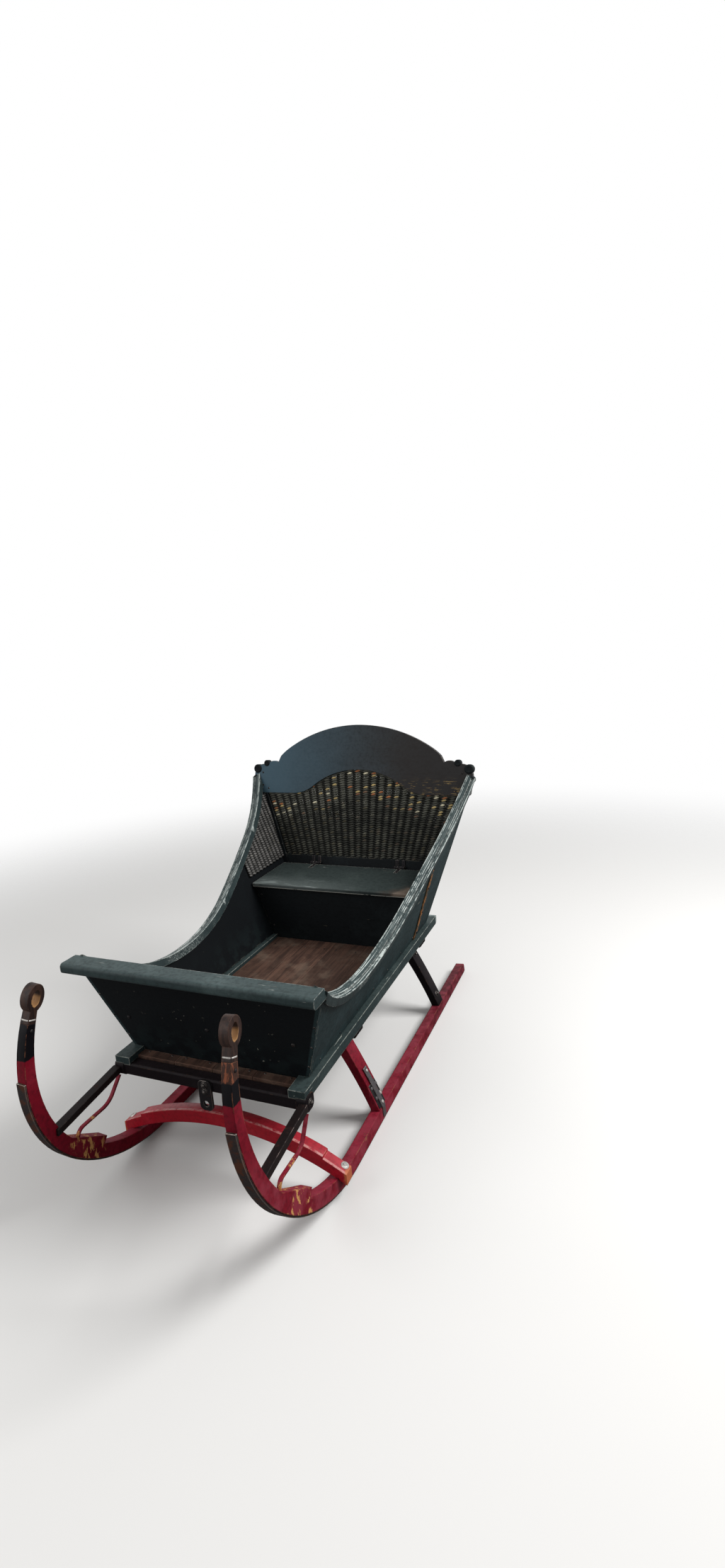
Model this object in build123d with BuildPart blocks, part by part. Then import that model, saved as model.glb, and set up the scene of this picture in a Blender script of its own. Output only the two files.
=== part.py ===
"""Horse drawn sleigh: bent wooden runners with eyed horns, a flared panelled body and a woven seat back.

Millimetres, +Z up, the front faces -Y, origin on the floor under the middle of the sleigh.
Left is the sleigh's own left, at +X.
"""
from build123d import *
from math import atan, cos, degrees, radians, sin, sqrt, tan
import os

os.makedirs("parts", exist_ok=True)

# Overall
LENGTH = 1952
FIT = 0.3
SIDES = ((1, "left"), (-1, "right"))

# Runners: gauge at the floor, lean of the runner's plane and the three bends from sole to horn
GAUGE = 760
RUNNER_LEAN = 4.4
RUNNER_WIDTH = 36
RUNNER_DEPTH = 42
SHOE = 5
SHOE_WIDTH = 30
SOLE_BEND_RADIUS = 560
SOLE_BEND_ANGLE = 45
NOSE_BEND_RADIUS = 454
HORN_BEND_RADIUS = 444
HORN_ANGLE = 20
HORN_ROOT_DEPTH = 36
HORN_TIP_DEPTH = 28
HORN_TIP_WIDTH = 28
HORN_THIN_HEIGHT = 350
REAR_ROUND = 18
SCARF_START = 34
SCARF_END = 53
SCARF_RISE = 24

# Horn eyes: the forged end above each runner
EYE_NECK_LENGTH = 38
EYE_NECK_WIDTH = 24
EYE_HEIGHT = 78
EYE_BREADTH = 58
EYE_HOLE_HEIGHT = 44
EYE_HOLE_BREADTH = 26
EYE_THICKNESS = 28

# Under-frame: cross beams and legs, with their places along the sleigh
ARCH_AHEAD = 131
ARCH_WIDTH = 40
ARCH_DEPTH = 46
ARCH_HEIGHT = 202
ARCH_OVERHANG = 22
ARCH_LAP = 13
ARCH_SHOULDER = 8
FRONT_LEG_Y = -170
REAR_LEG_Y = 570
LEG_TOP_X = 236
LEG_TOP_LENGTH = 62
LEG_FOOT_WIDTH = 34
LEG_TOP_WIDTH = 46
LEG_OUTER_BULGE = 5
LEG_INNER_BULGE = 9
BEAM_HEIGHT = 45
BEAM_WIDTH = 60
BEAM_HALF = 326
NOSE_BEAM_Y = -598
NOSE_BEAM_SIZE = 42
NOSE_BEAM_EDGE = 5
NOSE_BEAM_HALF = 348
NOSE_BEAM_DROP = 7
NOSE_KNOB = 50
NOSE_KNOB_LENGTH = 34
STRUT_WIDTH = 26
STRUT_DEPTH = 22
STRUT_FALL = 34
STRUT_INSET = 13
STRUT_FOOT_INSET = 84
BRACE_INSET = 12
BRACE_WIDTH = 12
BRACE_METAL = 5
BRACE_FOOT_INSET = 165
BRACE_FOOT_BEND = 26
BRACE_Z = 262
BRACE_RUN = 85
BRACE_RISE_BEND = 60
BRACE_RISE_ANGLE = 50
BRACE_RISE = 60

# Body: sills, floor and the flare of the sides
SILL_BOTTOM = 362
SILL_HEIGHT = 36
SILL_WIDTH = 56
SILL_REAR_Y = 722
SILL_LEDGE = 22
BOARD_BOTTOM_HALF = 323
FLARE = 18.8
BOARD = 18
FLOOR = 22
FLOOR_PLANKS = 4
PLANK_GAP = 2
RAIL_LOW_Y = -200
RAIL_RISE = 156
RAIL_SWEEP_RADIUS = 628
RAIL_SWEEP_ANGLE = 52
SIDE_FRONT_RADIUS = 813
SIDE_FRONT_ANGLE = 27
SIDE_MIDDLE_RADIUS = 5060
SIDE_MIDDLE_ANGLE = 4
SIDE_REAR_RADIUS = 940
SIDE_REAR_ANGLE = 28
RAIL_HEIGHT = 28
RAIL_WIDTH = 42
RAIL_GROOVE = 5
RAIL_GROOVE_DEPTH = 3
RAIL_GROOVE_OUT = 6
DASH_FOOT_Y = -530
DASH_LEAN = 15
DASH_PANEL = 16
FRONT_CAP_DEPTH = 80
FRONT_CAP_HEIGHT = 34
FRONT_CAP_ABOVE_RAIL = 6
FRONT_CAP_ROUND = 12

# Back: one leaning plane that the crest, posts and woven panel share
BACK_Y = 730
BACK_Z = 1048
BACK_LEAN = 10
POST_WIDTH = 44
POST_THICKNESS = 26
WEAVE = 16
WEAVE_SETBACK = 5
WEAVE_PITCH = 30
WEAVE_FURROW = 13
WEAVE_FURROW_DEPTH = 5
LOWER_PANEL = 14
SEAT_RAIL_ABOVE_LID = 34
SEAT_RAIL_BELOW_LID = 22
CREST = 24
CREST_RISE = 232
CREST_CROWN_RADIUS = 640
CREST_CROWN_ANGLE = 34
CREST_SHOULDER_RADIUS = 240
CREST_SHOULDER_ANGLE = 12
CREST_INSET = 4
CREST_EAR = 58
CREST_EAR_LENGTH = 128
CREST_DROP = 86
CREST_TIP = 40
CREST_TIP_ROUND = 10
CREST_TIP_DROP = 20
CREST_FOOT = 12
CREST_SCROLL = 24
CREST_SCROLL_RISE = 10
CREST_EAR_FALL = 6
CREST_ARCH_RISE = 26
CREST_ARCH_HALF = 330
CREST_ARCH_CORNER = 170

# Seat box, lid and hinges
LID_TOP = 640
LID = 18
LID_FRONT_Y = 345
LID_SIDE_GAP = 6
LID_REAR_GAP = 9
LID_OVERHANG = 22
BOX_PANEL = 16
LEDGE_SIZE = 22
HINGE_X = 210
HINGE_LEAF = 46
HINGE_LEAF_LENGTH = 60
HINGE_METAL = 3
HINGE_PIN = 8
HINGE_BARREL = 15
HINGE_PLAY = 0.08
WOVEN_SIDE = 10
WOVEN_SIDE_FRONT_Y = 350
WOVEN_SIDE_LIFT = 15

# Ironwork
STRAP_Y = 452
STRAP_WIDTH = 24
STRAP_TURN = 5
STRAP_METAL = 5
STAY_WIDTH = 26
STAY_METAL = 7
DRAFT_WIDTH = 46
DRAFT_METAL = 8
DRAFT_DROP = 60
DRAFT_BORE = 20

# Worked out from the sizes above
LEAN_RAD = radians(RUNNER_LEAN)
FLARE_TAN = tan(radians(FLARE))
FLARE_COS = cos(radians(FLARE))
BACK_COS = cos(radians(BACK_LEAN))
BACK_TAN = tan(radians(BACK_LEAN))
FRONT_Y = -LENGTH / 2
REAR_Y = LENGTH / 2
RUNNER_X = GAUGE / 2
SILL_TOP = SILL_BOTTOM + SILL_HEIGHT
FLOOR_TOP = SILL_BOTTOM + FLOOR
SILL_X = BOARD_BOTTOM_HALF + SILL_LEDGE - SILL_WIDTH / 2
SILL_INNER = SILL_X - SILL_WIDTH / 2
BEAM_BOTTOM = SILL_BOTTOM - BEAM_HEIGHT
SHOE_OUTER = SHOE + SHOE_WIDTH / 2 * sin(LEAN_RAD)
RUNNER_TOP = SHOE + RUNNER_DEPTH
SOLE_REACH = sin(radians(SOLE_BEND_ANGLE))
SHOE_RISE = RUNNER_TOP - SHOE + SHOE_OUTER
FLAT_FRONT_Y = (
    FRONT_Y
    + (SOLE_BEND_RADIUS + SHOE_RISE) * SOLE_REACH
    + (NOSE_BEND_RADIUS + SHOE_RISE) * (1 - SOLE_REACH)
)
LID_BOTTOM = LID_TOP - LID
NOSE_BEAM_Z = SILL_BOTTOM - NOSE_BEAM_DROP
NOSE_BEAM_FRONT_Y = NOSE_BEAM_Y - NOSE_BEAM_SIZE / 2
SILL_FRONT_Y = NOSE_BEAM_FRONT_Y
ARCH_Y = FLAT_FRONT_Y - ARCH_AHEAD
ARCH_FOOT = RUNNER_TOP + SOLE_BEND_RADIUS - sqrt(SOLE_BEND_RADIUS**2 - ARCH_AHEAD**2) - ARCH_LAP
SIDE_BENDS = (
    (SIDE_FRONT_RADIUS, SIDE_FRONT_ANGLE),
    (SIDE_MIDDLE_RADIUS, SIDE_MIDDLE_ANGLE),
    (SIDE_REAR_RADIUS, SIDE_REAR_ANGLE),
)


def outer_half(z):
    """Half the body's width over the side boards at height z."""
    return BOARD_BOTTOM_HALF + (z - SILL_TOP) * FLARE_TAN


def inner_half(z):
    """Half the body's width between the side boards at height z."""
    return outer_half(z) - BOARD / FLARE_COS


def back_y(z):
    """Front face of the back at height z."""
    return BACK_Y - (BACK_Z - z) * BACK_TAN


def back_v(z):
    """Distance up the back's plane at height z."""
    return (z - BACK_Z) / BACK_COS


def runner_plane(side, out=0):
    """The runner's own plane: Y along the sleigh, then up the leaning runner, moved outward by out."""
    normal = Vector(cos(LEAN_RAD), 0, side * sin(LEAN_RAD))
    origin = Vector(side * RUNNER_X, 0, 0) + normal * (side * out)
    return Plane(origin=origin, x_dir=(0, 1, 0), z_dir=normal)


def runner_point(side, rise, out):
    """X and Z of a point rise up the runner's plane and out from its middle."""
    x = side * (RUNNER_X - rise * sin(LEAN_RAD) + out * cos(LEAN_RAD))
    z = rise * cos(LEAN_RAD) + out * sin(LEAN_RAD)
    return x, z


def flare_plane(side, out=0):
    """Outer face of a side board: Y along the sleigh, then up the flare, moved outward by out."""
    normal = Vector(FLARE_COS, 0, -side * sin(radians(FLARE)))
    origin = Vector(side * BOARD_BOTTOM_HALF, 0, SILL_TOP) + normal * (side * out)
    return Plane(origin=origin, x_dir=(0, 1, 0), z_dir=normal)


def cross_plane(y):
    """Upright plane across the sleigh at y: X across, Z up, its normal to the front."""
    return Plane(origin=(0, y, 0), x_dir=(1, 0, 0), z_dir=(0, -1, 0))


def back_plane(behind=0):
    """Front face of the back: X across, then up the lean, moved backward by behind."""
    normal = Vector(0, -BACK_COS, sin(radians(BACK_LEAN)))
    return Plane(origin=Vector(0, BACK_Y, BACK_Z) - normal * behind, x_dir=(1, 0, 0), z_dir=normal)


def dash_plane(ahead=0):
    """Rear face of the dash: X across, then up the lean, moved forward by ahead."""
    normal = Vector(0, -cos(radians(DASH_LEAN)), -sin(radians(DASH_LEAN)))
    return Plane(origin=Vector(0, DASH_FOOT_Y, SILL_TOP) + normal * ahead, x_dir=(1, 0, 0), z_dir=normal)


def finish(builder, name):
    """Name a finished piece and write it."""
    builder.part.label = name
    export_step(builder.part, f"parts/{name}.step")


def bend_chain(low, start_y, end_angle=90):
    """Runner line at low above the floor: straight from start_y, then the sole and nose bends to end_angle."""
    sole = Line((start_y, low), (FLAT_FRONT_Y, low))
    rise = JernArc(sole @ 1, sole % 1, SOLE_BEND_RADIUS + RUNNER_TOP - low, -SOLE_BEND_ANGLE)
    nose = JernArc(rise @ 1, rise % 1, NOSE_BEND_RADIUS + RUNNER_TOP - low, SOLE_BEND_ANGLE - end_angle)
    return sole, nose


def scarf_outline(high):
    """Thick lower end of the bent horn where it is scarfed to the sole: inside the bend, square to the rear."""
    with BuildLine(mode=Mode.PRIVATE):
        sole, nose = bend_chain(high, REAR_Y)
        rise = JernArc(sole @ 1, sole % 1, SOLE_BEND_RADIUS + RUNNER_TOP - high, -SOLE_BEND_ANGLE)
    start = SCARF_START / SOLE_BEND_ANGLE
    end = (SCARF_END - SOLE_BEND_ANGLE) / (90 - SOLE_BEND_ANGLE)
    inward = Vector((rise % start).Y, -(rise % start).X)
    deeper = Vector((nose % end).Y, -(nose % end).X)
    depth = RUNNER_DEPTH / 2
    Polyline(
        rise @ start + inward * SCARF_RISE,
        nose @ end,
        nose @ end - deeper * depth,
        rise @ start - inward * depth,
        close=True,
    )


def runner_solid(side, low, high, half, horn=True):
    """Runner band between two heights above the floor, half as wide on each side of its plane."""
    with BuildPart() as band:
        with BuildSketch(runner_plane(side)):
            with BuildLine():
                sole, nose = bend_chain(low, REAR_Y)
                top_sole, top_nose = bend_chain(high, REAR_Y, SCARF_END if horn else 90)
                ends = [nose @ 1, top_nose @ 1]
                if horn:
                    room = high - RUNNER_TOP
                    tip = JernArc(nose @ 1, nose % 1, HORN_BEND_RADIUS + RUNNER_TOP - low, -HORN_ANGLE)
                    inward = Vector((tip % 1).Y, -(tip % 1).X)
                    root = TangentArc(
                        top_nose @ 1, nose @ 1 + Vector(HORN_ROOT_DEPTH + room, 0), tangent=top_nose % 1
                    )
                    top = TangentArc(
                        root @ 1, tip @ 1 + inward * (HORN_TIP_DEPTH + room), tangent=root % 1
                    )
                    ends = [tip @ 1, top @ 1]
                Line(ends[0], ends[1])
                Line(sole @ 0, top_sole @ 0)
            make_face()
            if horn:
                with BuildLine():
                    scarf_outline(high)
                make_face()
        extrude(amount=half, both=True)
    return band.part


HORN_SWEEP = radians(HORN_ANGLE)
NOSE_HEIGHT = (
    RUNNER_TOP
    + SOLE_BEND_RADIUS * (1 - cos(radians(SOLE_BEND_ANGLE)))
    + NOSE_BEND_RADIUS * cos(radians(SOLE_BEND_ANGLE))
)
HORN_OUTER_RADIUS = HORN_BEND_RADIUS + RUNNER_DEPTH
TIP_Y = FLAT_FRONT_Y - (SOLE_BEND_RADIUS + RUNNER_DEPTH) * SOLE_REACH
TIP_Y -= (NOSE_BEND_RADIUS + RUNNER_DEPTH) * (1 - SOLE_REACH)
TIP_Y += HORN_OUTER_RADIUS * (1 - cos(HORN_SWEEP)) + HORN_TIP_DEPTH / 2 * cos(HORN_SWEEP)
TIP_Z = NOSE_HEIGHT + (HORN_OUTER_RADIUS - HORN_TIP_DEPTH / 2) * sin(HORN_SWEEP)

# Bent runners, slimmer towards the horn and with a rounded tail
thinning = atan((RUNNER_WIDTH - HORN_TIP_WIDTH) / 2 / (TIP_Z - HORN_THIN_HEIGHT))
for side, name in SIDES:
    with BuildPart() as runner:
        add(runner_solid(side, SHOE, RUNNER_TOP, RUNNER_WIDTH / 2))
        for face in (-1, 1):
            cheek = runner_plane(side, face * RUNNER_WIDTH / 2)
            start = cheek.from_local_coords(Vector(0, HORN_THIN_HEIGHT, 0))
            outward = cheek.z_dir * (side * face * cos(thinning)) + cheek.y_dir * sin(thinning)
            split(bisect_by=Plane(origin=start, x_dir=(0, 1, 0), z_dir=outward), keep=Keep.BOTTOM)
        tail = runner.edges().filter_by(Axis.Y, reverse=True).sort_by(Axis.Y)[-4:].sort_by(Axis.Z)[-1]
        fillet(tail, REAR_ROUND)
    finish(runner, f"runner_{name}")

# Iron shoes under the runners, flat where they stand on the floor
for side, name in SIDES:
    with BuildPart() as shoe:
        add(runner_solid(side, SHOE - SHOE_OUTER, SHOE, SHOE_WIDTH / 2, horn=False))
        split(bisect_by=Plane.XY, keep=Keep.TOP)
    finish(shoe, f"runner_shoe_{name}")

# Horn eyes: a neck on the runner's tip that opens into an upright oval ring
for side, name in SIDES:
    tip_plane = runner_plane(side)
    up = tip_plane.from_local_coords(Vector(sin(HORN_SWEEP), cos(HORN_SWEEP), 0)) - tip_plane.origin
    base = tip_plane.from_local_coords(Vector(TIP_Y, TIP_Z, 0))
    eye_plane = Plane(origin=base, x_dir=up.cross(tip_plane.z_dir), z_dir=tip_plane.z_dir)
    with BuildPart() as eye:
        with BuildSketch(eye_plane):
            with BuildLine():
                Polyline(
                    (-HORN_TIP_DEPTH / 2, 0),
                    (HORN_TIP_DEPTH / 2, 0),
                    (EYE_NECK_WIDTH / 2, EYE_NECK_LENGTH),
                    (-EYE_NECK_WIDTH / 2, EYE_NECK_LENGTH),
                    close=True,
                )
            make_face()
            with Locations((0, EYE_NECK_LENGTH + EYE_HEIGHT / 2 - EYE_NECK_WIDTH / 4)):
                Ellipse(EYE_BREADTH / 2, EYE_HEIGHT / 2)
                Ellipse(EYE_HOLE_BREADTH / 2, EYE_HOLE_HEIGHT / 2, mode=Mode.SUBTRACT)
        extrude(amount=EYE_THICKNESS / 2, both=True)
    finish(eye, f"horn_eye_{name}")

# Arched beam across the front of the runners, shouldered at its ends and cut to the bent runner
runner_room = [runner_solid(side, SHOE, RUNNER_TOP + FIT / 2, RUNNER_WIDTH / 2 + FIT / 2) for side, _ in SIDES]
ARCH_END = RUNNER_X + RUNNER_WIDTH / 2 + ARCH_OVERHANG
ARCH_TOP = ARCH_FOOT + ARCH_DEPTH
arch_rise = ARCH_HEIGHT - ARCH_TOP
arch_radius = (ARCH_END**2 + arch_rise**2) / (2 * arch_rise)
shoulder_x = RUNNER_X - RUNNER_WIDTH
shoulder_z = ARCH_HEIGHT - arch_radius + sqrt(arch_radius**2 - shoulder_x**2)
with BuildPart() as arch:
    with BuildSketch(cross_plane(ARCH_Y)):
        with BuildLine():
            under = ThreePointArc(
                (-ARCH_END, ARCH_FOOT), (0, ARCH_HEIGHT - ARCH_DEPTH), (ARCH_END, ARCH_FOOT)
            )
            over = ThreePointArc((-ARCH_END, ARCH_TOP), (0, ARCH_HEIGHT), (ARCH_END, ARCH_TOP))
            Line(under @ 0, over @ 0)
            Line(under @ 1, over @ 1)
        make_face()
        for side, _ in SIDES:
            with BuildLine():
                Polyline(
                    (side * shoulder_x, shoulder_z - ARCH_SHOULDER),
                    (side * shoulder_x, ARCH_HEIGHT),
                    (side * ARCH_END, ARCH_HEIGHT),
                    (side * ARCH_END, ARCH_TOP - ARCH_SHOULDER),
                    close=True,
                )
            make_face(mode=Mode.SUBTRACT)
    extrude(amount=ARCH_WIDTH / 2, both=True)
    for room in runner_room:
        add(room, mode=Mode.SUBTRACT)
finish(arch, "front_arch_beam")

# Legs: splayed posts from the runner's top face up to the cross beams
for leg_y, place in ((FRONT_LEG_Y, "front"), (REAR_LEG_Y, "rear")):
    for side, name in SIDES:
        foot_in = runner_point(side, RUNNER_TOP, -LEG_FOOT_WIDTH / 2)
        foot_out = runner_point(side, RUNNER_TOP, LEG_FOOT_WIDTH / 2)
        top_in = (side * (LEG_TOP_X - LEG_TOP_WIDTH / 2), BEAM_BOTTOM)
        top_out = (side * (LEG_TOP_X + LEG_TOP_WIDTH / 2), BEAM_BOTTOM)
        with BuildPart() as leg:
            with BuildSketch(cross_plane(leg_y)):
                with BuildLine():
                    Line(foot_in, foot_out)
                    ThreePointArc(
                        foot_out,
                        ((foot_out[0] + top_out[0]) / 2 + side * LEG_OUTER_BULGE, (foot_out[1] + top_out[1]) / 2),
                        top_out,
                    )
                    Line(top_out, top_in)
                    ThreePointArc(
                        top_in,
                        ((foot_in[0] + top_in[0]) / 2 + side * LEG_INNER_BULGE, (foot_in[1] + top_in[1]) / 2),
                        foot_in,
                    )
                make_face()
            extrude(amount=LEG_TOP_LENGTH / 2, both=True)
        finish(leg, f"{place}_leg_{name}")

# Cross beams over the legs, under the sills
for beam_y, place in ((FRONT_LEG_Y, "middle"), (REAR_LEG_Y, "rear")):
    with BuildPart() as beam:
        with BuildSketch(cross_plane(beam_y)):
            with Locations((0, BEAM_BOTTOM + BEAM_HEIGHT / 2)):
                RectangleRounded(2 * BEAM_HALF, BEAM_HEIGHT, BEAM_HEIGHT / 4)
        extrude(amount=BEAM_WIDTH / 2, both=True)
    finish(beam, f"{place}_cross_beam")


def nose_beam_solid(room=0):
    """Nose beam with a rounded knob at each end, grown by room all round."""
    with BuildPart() as solid:
        with BuildSketch(cross_plane(NOSE_BEAM_Y)):
            with Locations((0, NOSE_BEAM_Z)):
                Rectangle(2 * (NOSE_BEAM_HALF - NOSE_KNOB_LENGTH), NOSE_BEAM_SIZE + 2 * room)
        extrude(amount=NOSE_BEAM_SIZE / 2 + room, both=True)
        chamfer(solid.edges().filter_by(Axis.X), NOSE_BEAM_EDGE)
        for side, _ in SIDES:
            start = Vector(side * (NOSE_BEAM_HALF - NOSE_KNOB_LENGTH - room), NOSE_BEAM_Y, NOSE_BEAM_Z)
            with BuildSketch(Plane(origin=start, x_dir=(0, 1, 0), z_dir=(side, 0, 0))):
                RectangleRounded(NOSE_KNOB + 2 * room, NOSE_KNOB + 2 * room, NOSE_KNOB / 3)
            extrude(amount=NOSE_KNOB_LENGTH + 2 * room)
    return solid.part


# Nose beam across the front of the sills
with BuildPart() as nose_beam:
    add(nose_beam_solid())
finish(nose_beam, "nose_beam")

# Struts from the nose beam's knobs forward to the bend of each runner
STRUT_BACK_Y = NOSE_BEAM_Y - NOSE_KNOB / 2 - FIT / 3
STRUT_FOOT_Y = FRONT_Y + STRUT_FOOT_INSET
for side, name in SIDES:
    with BuildPart() as strut:
        with BuildSketch(runner_plane(side, -STRUT_INSET)):
            with BuildLine():
                Polyline(
                    (STRUT_BACK_Y, NOSE_BEAM_Z - STRUT_DEPTH / 2),
                    (STRUT_BACK_Y, NOSE_BEAM_Z + STRUT_DEPTH / 2),
                    (STRUT_FOOT_Y, NOSE_BEAM_Z - STRUT_FALL + STRUT_DEPTH / 2),
                    (STRUT_FOOT_Y, NOSE_BEAM_Z - STRUT_FALL - STRUT_DEPTH / 2),
                    close=True,
                )
            make_face()
        extrude(amount=STRUT_WIDTH / 2, both=True)
        for room in runner_room:
            add(room, mode=Mode.SUBTRACT)
    strut.part = Part() + strut.part.solids().sort_by(Axis.Y)[-1]
    finish(strut, f"front_strut_{name}")

# Bent flat braces from the thick end of each horn, rearward and up to the nose beam's knobs
nose_room = nose_beam_solid(FIT / 3)
BRACE_Y = FRONT_Y + BRACE_FOOT_INSET
with BuildPart() as braces:
    for side, _ in SIDES:
        with BuildSketch(runner_plane(side, -BRACE_INSET)):
            with BuildLine():
                foot = Line((BRACE_Y, BRACE_Z - 2 * BRACE_FOOT_BEND), (BRACE_Y, BRACE_Z - BRACE_FOOT_BEND))
                bend = JernArc(foot @ 1, foot % 1, BRACE_FOOT_BEND, -90)
                run = Line(bend @ 1, bend @ 1 + Vector(BRACE_RUN, 0))
                rise = JernArc(run @ 1, run % 1, BRACE_RISE_BEND, BRACE_RISE_ANGLE)
                Line(rise @ 1, rise @ 1 + rise % 1 * BRACE_RISE)
            trace(line_width=BRACE_METAL)
        extrude(amount=BRACE_WIDTH / 2, both=True)
    for room in (*runner_room, nose_room):
        add(room, mode=Mode.SUBTRACT)
    kept = [solid for solid in braces.part.solids() if solid.bounding_box().size.Y > BRACE_RUN]
    braces.part = Part() + kept
finish(braces, "horn_braces")

# Sills along both sides of the floor, lapped over the nose beam
for side, name in SIDES:
    with BuildPart() as sill:
        with BuildSketch(cross_plane(SILL_FRONT_Y)):
            with Locations((side * SILL_X, SILL_BOTTOM + SILL_HEIGHT / 2)):
                Rectangle(SILL_WIDTH, SILL_HEIGHT)
        extrude(amount=SILL_FRONT_Y - SILL_REAR_Y)
        add(nose_room, mode=Mode.SUBTRACT)
        tail = sill.edges().filter_by(Axis.X).sort_by(Axis.Y)[-2:].sort_by(Axis.Z)[0]
        fillet(tail, REAR_ROUND)
    finish(sill, f"sill_{name}")

# Floor planks between the sills, on the cross beams
floor_half = SILL_INNER - FIT
floor_front = NOSE_BEAM_Y + NOSE_BEAM_SIZE / 2 + FIT
floor_rear = back_y(SILL_BOTTOM) - FIT
plank_width = (2 * floor_half - (FLOOR_PLANKS - 1) * PLANK_GAP) / FLOOR_PLANKS
with BuildPart() as floor:
    with BuildSketch(Plane.XY.offset(SILL_BOTTOM)):
        with Locations((0, (floor_front + floor_rear) / 2)):
            with GridLocations(plank_width + PLANK_GAP, 1, FLOOR_PLANKS, 1):
                Rectangle(plank_width, floor_rear - floor_front)
    extrude(amount=FLOOR)
finish(floor, "floor_boards")


def rail_chain(rise):
    """Top edge of a side, raised by rise: swept up to the front from its low point, and bent up to the back."""
    low = (RAIL_LOW_Y, RAIL_RISE + rise)
    front = JernArc(low, (-1, 0), RAIL_SWEEP_RADIUS - rise, -RAIL_SWEEP_ANGLE)
    start, heading = low, (1, 0)
    for radius, angle in SIDE_BENDS:
        bend = JernArc(start, heading, radius - rise, angle)
        start, heading = bend @ 1, bend % 1
    return front @ 1, start


def side_face(rise):
    """Outline of a side up to the top edge raised by rise, drawn on the flare and longer than the body."""
    with BuildSketch(mode=Mode.PRIVATE) as face:
        with BuildLine():
            start, end = rail_chain(rise)
            Polyline(end, (BACK_Y + POST_WIDTH, end.Y), (BACK_Y, 0), (start.X, 0), start)
        make_face()
    return face.sketch


def rail_band(side, low, high, inner, outer):
    """Strip along a side's top edge between two rises, from inner to outer across the board's middle."""
    with BuildPart() as band:
        with BuildSketch(flare_plane(side, inner - BOARD / 2)):
            with BuildLine():
                low_start, low_end = rail_chain(low)
                high_start, high_end = rail_chain(high)
                Line(low_start, high_start)
                Line(low_end, high_end)
            make_face()
        extrude(amount=side * (outer - inner))
    return band.part


# Flared side boards with the swept top edge, cut to the planes of the back and the dash
for side, name in SIDES:
    with BuildPart() as board:
        with BuildSketch(flare_plane(side)):
            add(side_face(0))
        extrude(amount=-side * BOARD)
        split(bisect_by=back_plane(-FIT / 3), keep=Keep.TOP)
        split(bisect_by=dash_plane(-FIT / 3), keep=Keep.BOTTOM)
    finish(board, f"side_board_{name}")

# Grooved rails on the side boards' top edges, from the front cap to the crest
for side, name in SIDES:
    with BuildPart() as rail:
        add(rail_band(side, 0, RAIL_HEIGHT, -RAIL_WIDTH / 2, RAIL_WIDTH / 2))
        split(bisect_by=back_plane(-FIT / 3), keep=Keep.TOP)
        split(bisect_by=dash_plane(-FIT / 3), keep=Keep.BOTTOM)
        groove_in = RAIL_GROOVE_OUT - RAIL_GROOVE / 2
        groove_low = RAIL_HEIGHT - RAIL_GROOVE_DEPTH
        add(
            rail_band(side, groove_low, RAIL_HEIGHT + FIT, groove_in, groove_in + RAIL_GROOVE),
            mode=Mode.SUBTRACT,
        )
    finish(rail, f"top_rail_{name}")

# Front end of the rails, where their upper line meets the dash's plane: rise up the flare and height
rail_run = DASH_FOOT_Y - RAIL_LOW_Y
rail_centre = RAIL_RISE + RAIL_SWEEP_RADIUS
dash_slope = FLARE_COS * tan(radians(DASH_LEAN))
half_sum = rail_run * dash_slope + rail_centre
spread = rail_run**2 + rail_centre**2 - (RAIL_SWEEP_RADIUS - RAIL_HEIGHT) ** 2
rail_end_rise = (half_sum - sqrt(half_sum**2 - (1 + dash_slope**2) * spread)) / (1 + dash_slope**2)
CAP_TOP = SILL_TOP + rail_end_rise * FLARE_COS + FRONT_CAP_ABOVE_RAIL
CAP_BOTTOM = CAP_TOP - FRONT_CAP_HEIGHT
DASH_TOP_V = (CAP_TOP - SILL_TOP) / cos(radians(DASH_LEAN))
DASH_LOW_V = (FLOOR_TOP - SILL_TOP) / cos(radians(DASH_LEAN))

# Slanting dash panel on the side boards' front edges, notched over the sills
with BuildPart() as dash:
    with BuildSketch(dash_plane()):
        with BuildLine():
            Polyline(
                (-outer_half(FLOOR_TOP), DASH_LOW_V),
                (outer_half(FLOOR_TOP), DASH_LOW_V),
                (outer_half(CAP_TOP), DASH_TOP_V),
                (-outer_half(CAP_TOP), DASH_TOP_V),
                close=True,
            )
        make_face()
    extrude(amount=DASH_PANEL)
    split(bisect_by=Plane.XY.offset(CAP_BOTTOM), keep=Keep.BOTTOM)
    split(bisect_by=Plane.XY.offset(FLOOR_TOP), keep=Keep.TOP)
    for side, _ in SIDES:
        with BuildSketch(Plane.XY):
            with Locations((side * (SILL_INNER - FIT + SILL_WIDTH), DASH_FOOT_Y)):
                Rectangle(2 * SILL_WIDTH, 2 * SILL_WIDTH)
        extrude(amount=SILL_TOP, mode=Mode.SUBTRACT)
finish(dash, "dash_panel")

# Front cap: the wide rounded board on top of the dash, its rear edge against the rails
CAP_HALF = outer_half(CAP_BOTTOM) + (RAIL_WIDTH - BOARD) / 2 / FLARE_COS
with BuildPart() as cap:
    with BuildSketch(Plane.YZ.offset(-CAP_HALF)):
        with Locations((DASH_FOOT_Y - FRONT_CAP_DEPTH, (CAP_TOP + CAP_BOTTOM) / 2)):
            Rectangle(2 * FRONT_CAP_DEPTH, FRONT_CAP_HEIGHT)
    extrude(amount=2 * CAP_HALF)
    split(bisect_by=dash_plane(), keep=Keep.TOP)
    fillet(cap.edges().filter_by(Axis.X).sort_by(Axis.Y)[:2], FRONT_CAP_ROUND)
finish(cap, "front_cap")


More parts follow.
